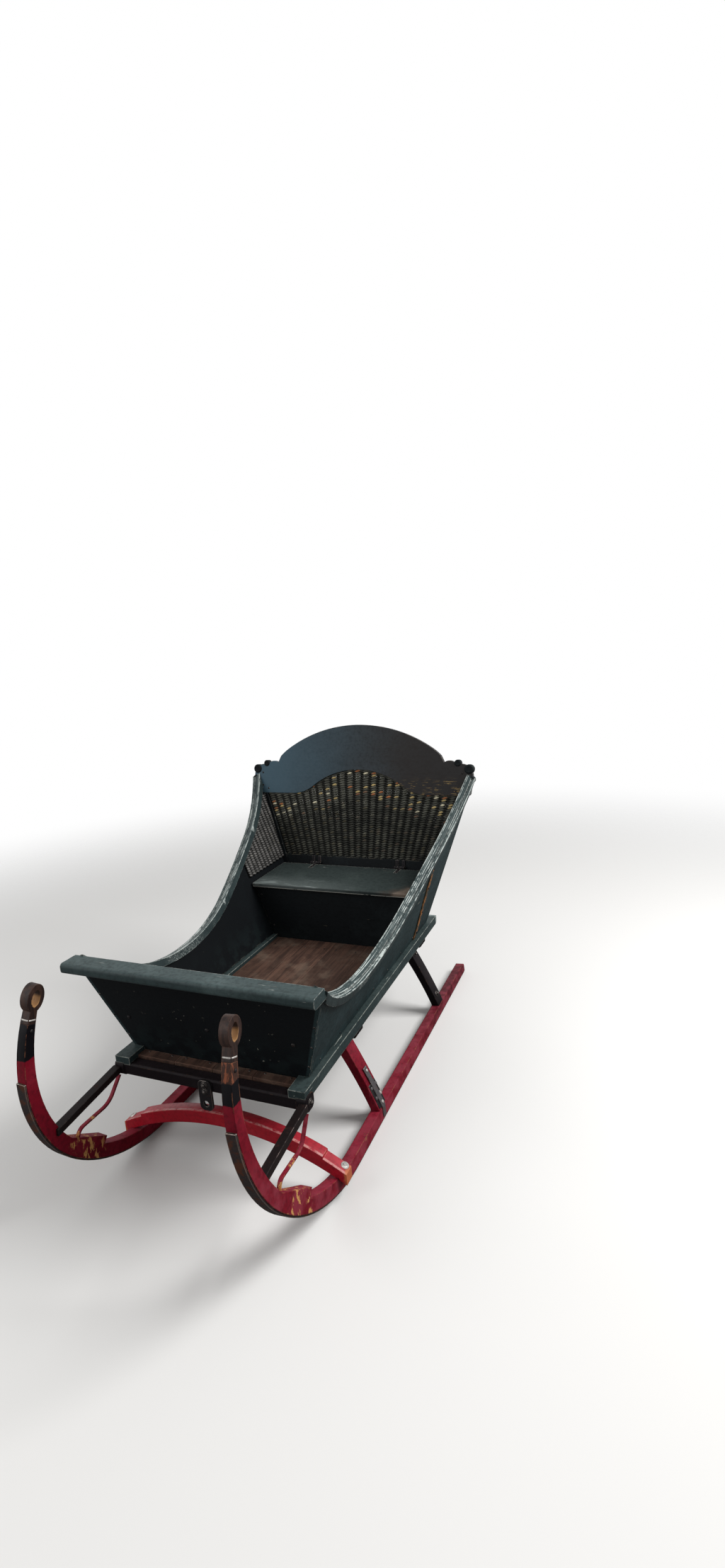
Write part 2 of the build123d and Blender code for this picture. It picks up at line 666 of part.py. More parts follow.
def crest_under_edge(half, gap):
    """Crest's lower edge, left to right and lowered by gap: flat ends and an arch of three bends."""
    low = -CREST_DROP - gap
    turn = 2 * degrees(atan((CREST_DROP + CREST_ARCH_RISE) / CREST_ARCH_HALF))
    crown = CREST_ARCH_HALF / sin(radians(turn)) - CREST_ARCH_CORNER
    left_flat = Line((-half, low), (-CREST_ARCH_HALF, low))
    left_bend = JernArc(left_flat @ 1, left_flat % 1, CREST_ARCH_CORNER, turn)
    middle = JernArc(left_bend @ 1, left_bend % 1, crown, -2 * turn)
    JernArc(middle @ 1, middle % 1, CREST_ARCH_CORNER, turn)
    Line((CREST_ARCH_HALF, low), (half, low))


# Crest board: arched top, eared ends and a shallow arch below
CREST_HALF = outer_half(BACK_Z) - CREST_INSET
EAR_X = CREST_HALF - CREST_EAR_LENGTH
SCROLL_X = EAR_X + CREST_SCROLL
EAR_FLAT_X = CREST_HALF - CREST_TIP
EAR_LOW = CREST_EAR - CREST_EAR_FALL
EAR_FOOT_X = CREST_HALF - CREST_FOOT
with BuildPart() as crest:
    with BuildSketch(back_plane()):
        with BuildLine():
            with BuildLine(mode=Mode.PRIVATE) as half_top:
                crown = JernArc((0, CREST_RISE), (1, 0), CREST_CROWN_RADIUS, -CREST_CROWN_ANGLE)
                shoulder = JernArc(crown @ 1, crown % 1, CREST_SHOULDER_RADIUS, -CREST_SHOULDER_ANGLE)
                Line(shoulder @ 1, (EAR_X, CREST_EAR))
                ThreePointArc(
                    (EAR_X, CREST_EAR),
                    (SCROLL_X, CREST_EAR + CREST_SCROLL_RISE),
                    (SCROLL_X + CREST_SCROLL, CREST_EAR),
                )
                Line((SCROLL_X + CREST_SCROLL, CREST_EAR), (EAR_FLAT_X, EAR_LOW))
                ThreePointArc(
                    (EAR_FLAT_X, EAR_LOW),
                    (CREST_HALF - CREST_TIP_ROUND, EAR_LOW - CREST_TIP_DROP),
                    (CREST_HALF, 0),
                )
                Line((CREST_HALF, 0), (EAR_FOOT_X, -CREST_DROP))
            add(half_top.line)
            mirror(half_top.line, about=Plane.YZ)
            crest_under_edge(EAR_FOOT_X, 0)
        make_face()
    extrude(amount=-CREST)
    through = crest.edges().filter_by(Axis((0, 0, 0), back_plane().z_dir))
    low_corners = through.group_by(Axis.Z)[0].sort_by(Axis.X)
    fillet([low_corners[0], low_corners[-1]], CREST / 2)
finish(crest, "crest_board")

# Back posts on the sills, behind the ends of the side boards
POST_TOP = -CREST_DROP - FIT / 3
post_top_z = BACK_Z + POST_TOP * BACK_COS
post_low_z = SILL_TOP - POST_THICKNESS
for side, name in SIDES:
    with BuildPart() as post:
        with BuildSketch(back_plane()):
            with BuildLine():
                Polyline(
                    (side * outer_half(post_low_z), back_v(post_low_z)),
                    (side * outer_half(post_top_z), POST_TOP),
                    (side * (outer_half(post_top_z) - POST_WIDTH), POST_TOP),
                    (side * (outer_half(post_low_z) - POST_WIDTH), back_v(post_low_z)),
                    close=True,
                )
            make_face()
        extrude(amount=-POST_THICKNESS)
        split(bisect_by=Plane.XY.offset(SILL_TOP), keep=Keep.TOP)
    finish(post, f"back_post_{name}")


def between_posts(low_z, high_v):
    """Outline between the back posts from height low_z up to high_v on the back's plane."""
    high_z = BACK_Z + high_v * BACK_COS
    low_half = outer_half(low_z) - POST_WIDTH - FIT / 3
    high_half = outer_half(high_z) - POST_WIDTH - FIT / 3
    return low_half, high_half


SEAT_RAIL_LOW = LID_TOP - SEAT_RAIL_BELOW_LID
SEAT_RAIL_HIGH = LID_TOP + SEAT_RAIL_ABOVE_LID

# Seat rail between the posts, which carries the hinges
with BuildPart() as seat_rail:
    with BuildSketch(back_plane()):
        with BuildLine():
            low_half, high_half = between_posts(SEAT_RAIL_LOW, back_v(SEAT_RAIL_HIGH))
            Polyline(
                (-low_half, back_v(SEAT_RAIL_LOW)),
                (low_half, back_v(SEAT_RAIL_LOW)),
                (high_half, back_v(SEAT_RAIL_HIGH)),
                (-high_half, back_v(SEAT_RAIL_HIGH)),
                close=True,
            )
        make_face()
    extrude(amount=-POST_THICKNESS)
finish(seat_rail, "seat_rail")

# Lower back panel that closes the seat box behind
with BuildPart() as lower_panel:
    with BuildSketch(back_plane()):
        with BuildLine():
            low_half, high_half = between_posts(SILL_BOTTOM, back_v(SEAT_RAIL_LOW) - FIT / 3)
            Polyline(
                (-low_half, back_v(SILL_BOTTOM)),
                (low_half, back_v(SILL_BOTTOM)),
                (high_half, back_v(SEAT_RAIL_LOW) - FIT / 3),
                (-high_half, back_v(SEAT_RAIL_LOW) - FIT / 3),
                close=True,
            )
        make_face()
    extrude(amount=-LOWER_PANEL)
    for side, _ in SIDES:
        with BuildSketch(Plane.XY.offset(SILL_BOTTOM)):
            with Locations((side * SILL_X, SILL_REAR_Y / 2)):
                Rectangle(SILL_WIDTH + FIT, SILL_REAR_Y)
        extrude(amount=SILL_HEIGHT + FIT / 3, mode=Mode.SUBTRACT)
    split(bisect_by=Plane.XY.offset(SILL_BOTTOM), keep=Keep.TOP)
finish(lower_panel, "lower_back_panel")

# Woven back panel under the crest's arch, with a furrow between its upright stakes on both faces
with BuildPart() as woven_back:
    with BuildSketch(back_plane(WEAVE_SETBACK)):
        with BuildLine():
            low_v = back_v(SEAT_RAIL_HIGH) + FIT / 3
            low_half, high_half = between_posts(SEAT_RAIL_HIGH, POST_TOP)
            crest_under_edge(high_half, FIT)
            weave_top = -CREST_DROP - FIT
            Line((high_half, weave_top), (low_half, low_v))
            Line((low_half, low_v), (-low_half, low_v))
            Line((-low_half, low_v), (-high_half, weave_top))
        make_face()
    extrude(amount=-WEAVE)
    fan = (high_half / low_half - 1) / (weave_top - low_v)
    furrows = int(low_half / WEAVE_PITCH)
    for behind in (WEAVE_SETBACK, WEAVE_SETBACK + WEAVE):
        face = back_plane(behind)
        for count in range(-furrows, furrows):
            x = (count + 0.5) * WEAVE_PITCH
            start = face.from_local_coords(Vector(x, low_v - FIT, 0))
            upward = face.from_local_coords(Vector(x * fan, 1, 0)) - face.origin
            with BuildSketch(Plane(origin=start, x_dir=upward.cross(face.z_dir), z_dir=upward)):
                with BuildLine():
                    Polyline(
                        (-WEAVE_FURROW / 2, 0),
                        (0, WEAVE_FURROW_DEPTH),
                        (WEAVE_FURROW / 2, 0),
                        (0, -WEAVE_FURROW_DEPTH),
                        close=True,
                    )
                make_face()
            extrude(amount=upward.length * (CREST_ARCH_RISE - low_v + 2 * FIT), mode=Mode.SUBTRACT)
finish(woven_back, "woven_back")


# Woven linings inside the side boards beside the seat
lining_low = (LID_TOP + WOVEN_SIDE_LIFT - SILL_TOP) / FLARE_COS
for side, name in SIDES:
    with BuildPart() as lining:
        with BuildSketch(flare_plane(side, -BOARD)):
            add(side_face(-FIT / 3))
            with Locations((WOVEN_SIDE_FRONT_Y, lining_low)):
                Rectangle(LENGTH, LENGTH, align=(Align.MIN, Align.MIN), mode=Mode.INTERSECT)
        extrude(amount=-side * WOVEN_SIDE)
        split(bisect_by=back_plane(-FIT / 3), keep=Keep.TOP)
    finish(lining, f"woven_side_{name}")

# Front panel of the seat box, between the side boards and notched over the sills
box_y = LID_FRONT_Y + LID_OVERHANG
box_top = LID_BOTTOM - FIT
with BuildPart() as box_front:
    with BuildSketch(cross_plane(box_y)):
        with BuildLine():
            Polyline(
                (-SILL_INNER + FIT, FLOOR_TOP),
                (SILL_INNER - FIT, FLOOR_TOP),
                (SILL_INNER - FIT, SILL_TOP),
                (inner_half(SILL_TOP) - FIT, SILL_TOP),
                (inner_half(box_top) - FIT, box_top),
                (-inner_half(box_top) + FIT, box_top),
                (-inner_half(SILL_TOP) + FIT, SILL_TOP),
                (-SILL_INNER + FIT, SILL_TOP),
                close=True,
            )
        make_face()
    extrude(amount=-BOX_PANEL)
finish(box_front, "seat_box_front")

# Ledges on the side boards that carry the ends of the lid
ledge_start = box_y + BOX_PANEL
for side, name in SIDES:
    with BuildPart() as ledge:
        with BuildSketch(cross_plane(ledge_start)):
            with BuildLine():
                edge = inner_half(box_top) - LEDGE_SIZE
                low = box_top - LEDGE_SIZE
                Polyline(
                    (side * (inner_half(box_top) - FIT / 3), box_top),
                    (side * edge, box_top),
                    (side * edge, low),
                    (side * (inner_half(low) - FIT / 3), low),
                    close=True,
                )
            make_face()
        extrude(amount=ledge_start - BACK_Y)
        split(bisect_by=back_plane(-FIT / 3), keep=Keep.TOP)
    finish(ledge, f"lid_ledge_{name}")

# Seat lid, hinged at its rear edge, with the hinge straps let into its top
hinge_y = back_y(LID_TOP) - HINGE_BARREL / 2 - 2 * HINGE_METAL
hinge_z = LID_TOP + HINGE_BARREL / 2 - HINGE_METAL
knuckle = HINGE_LEAF / 3
lid_half = inner_half(LID_BOTTOM) - LID_SIDE_GAP
with BuildPart() as lid:
    with BuildSketch(Plane.XY.offset(LID_BOTTOM)):
        with Locations((0, (LID_FRONT_Y + hinge_y - LID_REAR_GAP) / 2)):
            Rectangle(2 * lid_half, hinge_y - LID_REAR_GAP - LID_FRONT_Y)
    extrude(amount=LID)
    fillet(lid.edges().filter_by(Axis.X).sort_by(Axis.Y)[:2], LID / 4)
    for side, _ in SIDES:
        with BuildSketch(Plane.XY.offset(LID_TOP)):
            with Locations((side * HINGE_X, hinge_y - HINGE_LEAF_LENGTH / 2)):
                Rectangle(knuckle + FIT, HINGE_LEAF_LENGTH + 2 * FIT)
        extrude(amount=-HINGE_METAL - FIT / 3, mode=Mode.SUBTRACT)
finish(lid, "seat_lid")

# Hinges: the moving straps in the lid with the middle knuckle
with BuildPart() as straps:
    for side, _ in SIDES:
        x = side * HINGE_X
        with BuildSketch(Plane.XY.offset(LID_TOP - HINGE_METAL)):
            with Locations((x, hinge_y - HINGE_LEAF_LENGTH / 2)):
                Rectangle(knuckle - FIT, HINGE_LEAF_LENGTH)
        extrude(amount=HINGE_METAL)
        with BuildSketch(Plane(origin=(x, hinge_y, hinge_z), x_dir=(0, 1, 0), z_dir=(1, 0, 0))):
            Circle(HINGE_BARREL / 2)
        extrude(amount=(knuckle - FIT) / 2, both=True)
        with BuildSketch(Plane(origin=(x, hinge_y, hinge_z), x_dir=(0, 1, 0), z_dir=(1, 0, 0))):
            Circle(HINGE_PIN / 2 + HINGE_PLAY)
        extrude(amount=HINGE_LEAF, both=True, mode=Mode.SUBTRACT)
finish(straps, "lid_hinge_straps")

# Hinges: the fixed plates on the seat rail with the outer knuckles and pins
with BuildPart() as plates:
    for side, _ in SIDES:
        x = side * HINGE_X
        pin_plane = Plane(origin=(x, hinge_y, hinge_z), x_dir=(0, 1, 0), z_dir=(1, 0, 0))
        with BuildSketch(pin_plane):
            Circle(HINGE_PIN / 2)
        extrude(amount=HINGE_LEAF / 2, both=True)
        for end in (-1, 1):
            with BuildSketch(Plane(origin=(x + end * knuckle, hinge_y, hinge_z), x_dir=(0, 1, 0), z_dir=(1, 0, 0))):
                Circle(HINGE_BARREL / 2)
                with BuildLine():
                    Polyline(
                        (0, -HINGE_BARREL / 2),
                        (back_y(hinge_z - HINGE_BARREL / 2) - hinge_y - FIT / 3, -HINGE_BARREL / 2),
                        (back_y(SEAT_RAIL_HIGH) - hinge_y - FIT / 3, SEAT_RAIL_HIGH - hinge_z),
                        (back_y(SEAT_RAIL_HIGH) - hinge_y - HINGE_METAL, SEAT_RAIL_HIGH - hinge_z),
                        (back_y(hinge_z) - hinge_y - HINGE_METAL, 0),
                        close=True,
                    )
                make_face()
            extrude(amount=(knuckle - FIT) / 2, both=True)
finish(plates, "lid_hinge_plates")

# Iron straps on the outside of the side boards, from the sill to the rail
for side, name in SIDES:
    with BuildPart() as strap:
        with BuildSketch(flare_plane(side)):
            add(side_face(-FIT / 3))
            with Locations(Location((STRAP_Y, 0), STRAP_TURN)):
                Rectangle(STRAP_WIDTH, LENGTH, mode=Mode.INTERSECT)
        extrude(amount=side * STRAP_METAL)
        split(bisect_by=Plane.XY.offset(SILL_TOP), keep=Keep.TOP)
    finish(strap, f"side_strap_{name}")

# Iron stays on the front faces of the front legs
for side, name in SIDES:
    foot = runner_point(side, RUNNER_TOP, 0)
    with BuildPart() as stay:
        with BuildSketch(cross_plane(FRONT_LEG_Y - LEG_TOP_LENGTH / 2)):
            with BuildLine():
                Polyline(
                    runner_point(side, RUNNER_TOP, -STAY_WIDTH / 2),
                    runner_point(side, RUNNER_TOP, STAY_WIDTH / 2),
                    (side * (LEG_TOP_X + STAY_WIDTH / 2), BEAM_BOTTOM),
                    (side * (LEG_TOP_X - STAY_WIDTH / 2), BEAM_BOTTOM),
                    close=True,
                )
            make_face()
        extrude(amount=STAY_METAL)
    finish(stay, f"leg_stay_{name}")

# Draft iron on the nose beam, with the eye for the traces' bar
draft_top = NOSE_BEAM_Z + NOSE_BEAM_SIZE / 2
draft_eye = NOSE_BEAM_Z - NOSE_BEAM_SIZE / 2 - DRAFT_DROP + DRAFT_WIDTH / 2
with BuildPart() as draft:
    with BuildSketch(cross_plane(NOSE_BEAM_FRONT_Y)):
        with Locations((0, draft_top - (NOSE_BEAM_SIZE + DRAFT_DROP) / 2)):
            RectangleRounded(DRAFT_WIDTH, NOSE_BEAM_SIZE + DRAFT_DROP, DRAFT_WIDTH / 3)
        with Locations((0, draft_eye)):
            Circle(DRAFT_BORE / 2, mode=Mode.SUBTRACT)
    extrude(amount=DRAFT_METAL)
finish(draft, "draft_iron")
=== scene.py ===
"""Old horse drawn sleigh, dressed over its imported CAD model. Metres, +Z up, the front faces -Y."""
import math
import random

import bpy
from mathutils import Matrix, Vector
from mathutils.bvhtree import BVHTree


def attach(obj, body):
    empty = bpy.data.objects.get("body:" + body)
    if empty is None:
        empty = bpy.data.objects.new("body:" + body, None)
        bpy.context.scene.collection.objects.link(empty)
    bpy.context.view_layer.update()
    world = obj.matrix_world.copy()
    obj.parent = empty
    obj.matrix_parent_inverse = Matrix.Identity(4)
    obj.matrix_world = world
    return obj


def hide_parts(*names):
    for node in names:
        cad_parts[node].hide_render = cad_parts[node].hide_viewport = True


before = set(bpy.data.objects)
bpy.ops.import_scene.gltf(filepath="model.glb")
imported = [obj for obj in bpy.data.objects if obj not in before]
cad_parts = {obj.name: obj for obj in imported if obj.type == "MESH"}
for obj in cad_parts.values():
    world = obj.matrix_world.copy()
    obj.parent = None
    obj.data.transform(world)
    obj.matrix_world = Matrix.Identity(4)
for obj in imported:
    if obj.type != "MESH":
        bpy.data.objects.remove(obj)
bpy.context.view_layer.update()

# The photograph was taken from ahead of the left runner, at eye height, with a wide lens
# tipped down at the sleigh and held slightly askew.
CAMERA_PLACE = (1.2677, -2.2002, 1.6659)
HEADING = math.radians(67.0)
LOOK_DOWN = math.radians(11.68)
ASKEW = math.radians(4.23)
LENS = 16.254
SENSOR = 36
camera_data = bpy.data.cameras.new("camera")
camera_data.sensor_width = SENSOR
camera_data.lens = LENS
camera = bpy.data.objects.new("camera", camera_data)
bpy.context.scene.collection.objects.link(camera)
to_sleigh = Matrix((
    (math.sin(HEADING), -math.cos(HEADING), 0),
    (math.cos(HEADING), math.sin(HEADING), 0),
    (0, 0, 1),
))
tip = Matrix.Rotation(math.pi / 2 - LOOK_DOWN, 3, "X")
turn = Matrix.Rotation(-ASKEW, 3, "Z")
camera.matrix_world = Matrix.Translation(CAMERA_PLACE) @ (to_sleigh @ tip @ turn).to_4x4()
bpy.context.scene.camera = camera


# Bent runners: a steamed ash horn scarfed to a straight sole, brushed in crimson oil paint with
# black tips. The tops have faded pink, and the scarf's corners are rubbed through to gold wood.
# Low down the runners carry pink patches of painted light, and painted shadow towards their tails.
class Coat:
    """One socket of a finish: sums of these add Math nodes, and node() adds any other."""

    def __init__(self, tree, socket=None):
        self.tree = tree
        self.socket = socket

    def node(self, kind, settings=(), values=(), output=0):
        made = self.tree.nodes.new("ShaderNode" + kind)
        for setting, value in dict(settings).items():
            setattr(made, setting, value)
        for socket, value in dict(values).items():
            self.join(value, made.inputs[socket])
        return Coat(self.tree, made.outputs[output])

    def join(self, value, socket):
        if isinstance(value, Coat):
            self.tree.links.new(value.socket, socket)
        else:
            socket.default_value = value

    def math(self, operation, *values):
        return self.node("Math", {"operation": operation}, enumerate(values))

    def __add__(self, other):
        return self.math("ADD", self, other)

    def __sub__(self, other):
        return self.math("SUBTRACT", self, other)

    def __rsub__(self, other):
        return self.math("SUBTRACT", other, self)

    def __mul__(self, other):
        return self.math("MULTIPLY", self, other)

    __radd__ = __add__
    __rmul__ = __mul__

    def __truediv__(self, other):
        return self.math("DIVIDE", self, other)

    def __abs__(self):
        return self.math("ABSOLUTE", self)

    def floor(self):
        return self.math("FLOOR", self)

    def either(self, other):
        return self.math("MAXIMUM", self, other)

    def at_most(self, other):
        return self.math("MINIMUM", self, other)

    def step(self, low, high):
        """0 below low, 1 above high and smooth between."""
        ends = {"Value": self, "From Min": low, "From Max": high}
        return self.node("MapRange", {"interpolation_type": "SMOOTHSTEP"}, ends)

    def mix(self, under, over):
        """Colour over shows where this is 1, and under where it is 0."""
        return self.node("Mix", {"data_type": "RGBA"}, {0: self, 6: under, 7: over}, 2)

    def scale(self, amounts):
        return self.node("VectorMath", {"operation": "MULTIPLY"}, {0: self, 1: amounts})

    def along(self, direction):
        values = {0: self, 1: direction}
        return self.node("VectorMath", {"operation": "DOT_PRODUCT"}, values, "Value")

    def lain(self, tilt, scales=(1, 1, 1)):
        """Place on a pair of mirrored boards that lean by tilt: through them, along and up."""
        through = abs(self.part(0)) * math.cos(tilt) + self.part(2) * math.sin(tilt)
        values = {0: through * scales[0], 1: self.part(1) * scales[1], 2: self.part(2) * scales[2]}
        return self.node("CombineXYZ", (), values)

    def noise(self, size, detail=4.0, rough=0.55):
        """Soft random spots about size metres across."""
        values = {"Vector": self, "Scale": 1 / size, "Detail": detail, "Roughness": rough}
        return self.node("TexNoise", (), values)

    def part(self, axis):
        return self.node("SeparateXYZ", (), {0: self}, axis)

    def upward(self):
        """1 on a level top, 0 on an upright face and less than 0 below."""
        return self.node("TexCoord", output="Normal").part(2)

    def relief(self, height, depth, eased):
        """The eased normal, made uneven by heights of up to depth metres."""
        values = {"Strength": 0.5, "Distance": depth, "Height": height, "Normal": eased}
        return self.node("Bump", (), values)

    def finish(self, values):
        shader = self.tree.nodes["Principled BSDF"]
        for socket, value in values.items():
            self.join(value, shader.inputs[socket])


def dye(red, green, blue):
    """Linear colour from the 0 to 255 values of a paint card."""
    card = (red, green, blue)
    return tuple(((v / 255 + 0.055) / 1.055) ** 2.4 if v > 10 else v / 3294 for v in card) + (1.0,)


def shade(colour, amount):
    """The colour darker, or lighter where amount is over 1."""
    return tuple(min(1, amount * v) for v in colour[:3]) + (1.0,)


EDGE_RADIUS = 0.004


def new_coat(name):
    """A finish's material and coat, the place on the sleigh, the edge mask and the eased normal."""
    material = bpy.data.materials.new(name)
    material.use_nodes = True
    coat = Coat(material.node_tree)
    place = coat.node("TexCoord", output="Object")
    flat = coat.node("NewGeometry", output="Normal")
    eased = coat.node("Bevel", {"samples": 6}, {"Radius": EDGE_RADIUS})
    return material, coat, place, 1 - eased.along(flat), eased


# How often wood grain repeats in a metre along x, y and z, for pieces that lie each way.
ALONG = (60, 4, 60)
ACROSS = (4, 60, 60)
UPWARD = (60, 60, 4)


def painted(
    name, fresh, faded_and_lit, dark, bare, grain=ALONG,
    rubbed=0.5, flaked=0.4, gloss=0.42, tilt=0.0, sheen=0.14, trim=None,
):
    """Old brushed paint on wood: clouded, dull on top, rubbed bare at edges, flaked along grain."""
    material, coat, place, edge, eased = new_coat(name)
    clouds = place.noise(0.16, 5)
    mottle = place.noise(0.012, 6)
    fibre = place.lain(tilt, grain).noise(1.0, 5, 0.6)
    dull = coat.upward().step(0.2, 1.0) * 0.5 + clouds.step(0.48, 0.72) * 0.5
    colour = dull.mix(fresh, faded_and_lit)
    colour = (mottle.step(0.42, 0.72) * 0.45 + fibre.step(0.5, 0.8) * 0.35).mix(colour, dark)
    if trim:
        colour = trim(coat, place, colour)
    broken = place.noise(0.03, 6, 0.65)
    rub = edge.step(0.015, 0.11) * broken.step(0.62 - 0.24 * rubbed, 0.68 - 0.16 * rubbed)
    flake = fibre.step(0.7 - 0.12 * flaked, 0.73 - 0.1 * flaked)
    flake = flake * place.noise(0.09, 4).step(0.52, 0.62)
    chips = place.noise(0.006, 3, 0.7).step(0.72, 0.75) * clouds.step(0.4, 0.6) * (0.4 + flaked)
    worn = rub.either(flake).either(chips.at_most(1.0))
    colour = worn.mix(colour, mottle.step(0.35, 0.7).mix(bare, shade(bare, 0.45)))
    coat.finish({
        "Base Color": colour,
        "Roughness": gloss + mottle * 0.22 + worn * 0.25,
        "Specular IOR Level": sheen,
        "Normal": coat.relief(fibre * 0.5 + mottle * 0.3 - worn * 0.8, 0.0014, eased),
    })
    return material


def dress(material, *names):
    for name in names:
        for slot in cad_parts[name].material_slots:
            slot.material = material


def ease(width, *names):
    """Rounds the long edges of CAD pieces, whose faces share no points until they are welded."""
    for name in names:
        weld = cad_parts[name].modifiers.new("weld", "WELD")
        weld.merge_threshold = 0.00002
        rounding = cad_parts[name].modifiers.new("rounding", "BEVEL")
        rounding.width = width
        rounding.segments = 2
        rounding.limit_method = "ANGLE"
        rounding.angle_limit = math.radians(40)


RUNNER_LEAN = math.radians(4.4)
# Through a runner its inner face lies at 0.361, and the horn braces lie before it.
PAST_BRACES = 0.354
PAST_INNER_FACE = 0.362
BLACK_TIP_FROM = 0.598
BROWN_TIP_FROM = 0.652
SCARF_FRONT, SCARF_REAR, SCARF_TOP = -0.86, -0.70, 0.31
SHADED_TAIL_FROM, SHADED_TAIL_TO = 0.1, 0.7


def runner_trim(coat, place, colour):
    through, length, height = place.lain(RUNNER_LEAN).part(0), place.part(1), place.part(2)
    ragged = height + place.noise(0.02, 3) * 0.008
    # Painted shadow: the runner darkens towards its tail.
    colour = (length.step(SHADED_TAIL_FROM, SHADED_TAIL_TO) * 0.75).mix(colour, dye(34, 8, 14))
    # Painted light: pink patches low down on the runner's faces.
    faded_and_lit = through.step(PAST_INNER_FACE, PAST_INNER_FACE + 0.005)
    faded_and_lit = faded_and_lit * place.noise(0.05, 5).step(0.36, 0.6) * height.step(0.48, 0.3)
    colour = (faded_and_lit * 0.5).mix(colour, dye(150, 62, 76))
    colour = ragged.step(BLACK_TIP_FROM, BLACK_TIP_FROM + 0.003).mix(colour, dye(9, 8, 12))
    fibres = place.scale((90, 90, 22)).noise(1.0, 4).step(0.5, 0.6) * 0.7
    brown = ragged.step(BROWN_TIP_FROM, BROWN_TIP_FROM + 0.004) * place.part(0).step(-0.01, 0.01)
    colour = brown.mix(colour, fibres.mix(dye(60, 41, 35), dye(150, 88, 62)))
    scarf = length.step(SCARF_REAR, SCARF_REAR - 0.03)
    scarf = scarf * length.step(SCARF_FRONT, SCARF_FRONT + 0.03)
    scarf = scarf * height.step(SCARF_TOP, SCARF_TOP - 0.04)
    strokes = place.scale((60, 50, 16)).noise(1.0, 5, 0.7).step(0.54, 0.57)
    strokes = strokes * place.noise(0.05, 2).step(0.42, 0.5)
    on_runner = through.step(PAST_BRACES, PAST_BRACES + 0.004)
    return (scarf * strokes * on_runner).mix(colour, dye(198, 146, 88))


crimson = painted(
    "crimson_paint", dye(112, 14, 31), dye(150, 42, 60), dye(46, 8, 17), dye(158, 104, 78),
    grain=(120, 7, 7), flaked=0.25, tilt=RUNNER_LEAN, sheen=0.1, trim=runner_trim,
)
dress(crimson, "runner_left", "runner_right")
ease(0.005, "runner_left", "runner_right")


# Iron shoes: flat bar bent round the runners and worn bright where it runs, with brown rust
# along its sides.
def iron(name, black, rust, bright, rusted, polished):
    """Forged iron gone dark, with brown rust in patches and metal showing where it rubs."""
    material, coat, place, edge, eased = new_coat(name)
    pits = place.noise(0.004, 6, 0.7)
    patches = place.noise(0.035, 6, 0.65)
    rusting = patches.step(0.66 - 0.3 * rusted, 0.78 - 0.3 * rusted)
    shine = edge.step(0.02, 0.14) * patches.step(0.5 - 0.3 * polished, 0.6 - 0.2 * polished)
    colour = rusting.mix(pits.step(0.35, 0.7).mix(black, shade(black, 1.7)), rust)
    coat.finish({
        "Base Color": shine.mix(colour, bright),
        "Metallic": (0.12 + shine * 0.75) * (1 - rusting * 0.8),
        "Roughness": 0.55 + rusting * 0.3 - shine * 0.2,
        "Specular IOR Level": 0.16,
        "Normal": coat.relief(pits + patches * 0.5, 0.0008, eased),
    })
    return material


shoe_iron = iron("shoe_iron", dye(40, 34, 34), dye(74, 44, 32), dye(150, 140, 132), 0.55, 0.8)
dress(shoe_iron, "runner_shoe_left", "runner_shoe_right")


# Horn eyes: oval eyes of bare, oiled wood gone nearly black, each on a short neck above the black
# tip. Long use has rubbed the lower half of the hole through to yellow wood.
def bare_wood(name, light, deep, grain=UPWARD, gloss=0.55, trim=None):
    """Unpainted wood gone brown, with open grain, handling marks and darker dirt in the pores."""
    material, coat, place, edge, eased = new_coat(name)
    fibre = place.scale(grain).noise(1.0, 6, 0.65)
    clouds = place.noise(0.07, 4)
    mottle = place.noise(0.008, 5)
    colour = fibre.step(0.35, 0.65).mix(deep, light)
    dirt = clouds.step(0.45, 0.7) * 0.5 + mottle.step(0.5, 0.75) * 0.35
    colour = dirt.mix(colour, shade(deep, 0.5))
    handled = edge.step(0.02, 0.14) * mottle.step(0.3, 0.5) * 0.7
    colour = handled.mix(colour, shade(light, 1.9))
    if trim:
        colour = trim(coat, place, colour)
    coat.finish({
        "Base Color": colour,
        "Roughness": gloss + clouds * 0.2,
        "Specular IOR Level": 0.18,
        "Normal": coat.relief(fibre + mottle * 0.3, 0.0012, eased),
    })
    return material


HORN_ANGLE = math.radians(20)
EYE_RISE = 0.071
HOLE_HALF_WIDE = 0.013
HOLE_HALF_TALL = 0.022


def horn_foot(side, name):
    """Middle of the foot of a horn's eye, and the way the eye rises from it."""
    lean_up = Vector((-side * math.sin(RUNNER_LEAN), 0, math.cos(RUNNER_LEAN)))
    axis = lean_up * math.cos(HORN_ANGLE) + Vector((0, math.sin(HORN_ANGLE), 0))
    axis.normalize()
    spots = [v.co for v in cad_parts["horn_eye_" + name].data.vertices]
    spots.sort(key=lambda spot: spot.dot(axis))
    base = [spot for spot in spots if spot.dot(axis) < spots[0].dot(axis) + 0.0005]
    return sum(base, Vector()) / len(base), axis


def eye_trim(coat, place, colour):
    mirrored = place.lain(0)
    foot, axis = horn_foot(1, "left")
    ahead = axis.cross(Vector((math.cos(RUNNER_LEAN), 0, math.sin(RUNNER_LEAN))))
    rise = (mirrored.along(axis) - (foot.dot(axis) + EYE_RISE)) * (1 / HOLE_HALF_TALL)
    across = (mirrored.along(ahead) - foot.dot(ahead)) * (1 / HOLE_HALF_WIDE)
    wall = (rise * rise + across * across + place.noise(0.012, 4) * 1.2).step(2.1, 1.7)
    return (wall * rise.step(0.5, -0.1) * 0.85).mix(colour, dye(178, 134, 88))


horn_wood = bare_wood("horn_wood", dye(64, 45, 38), dye(30, 21, 20), gloss=0.4, trim=eye_trim)
dress(horn_wood, "horn_eye_left", "horn_eye_right")

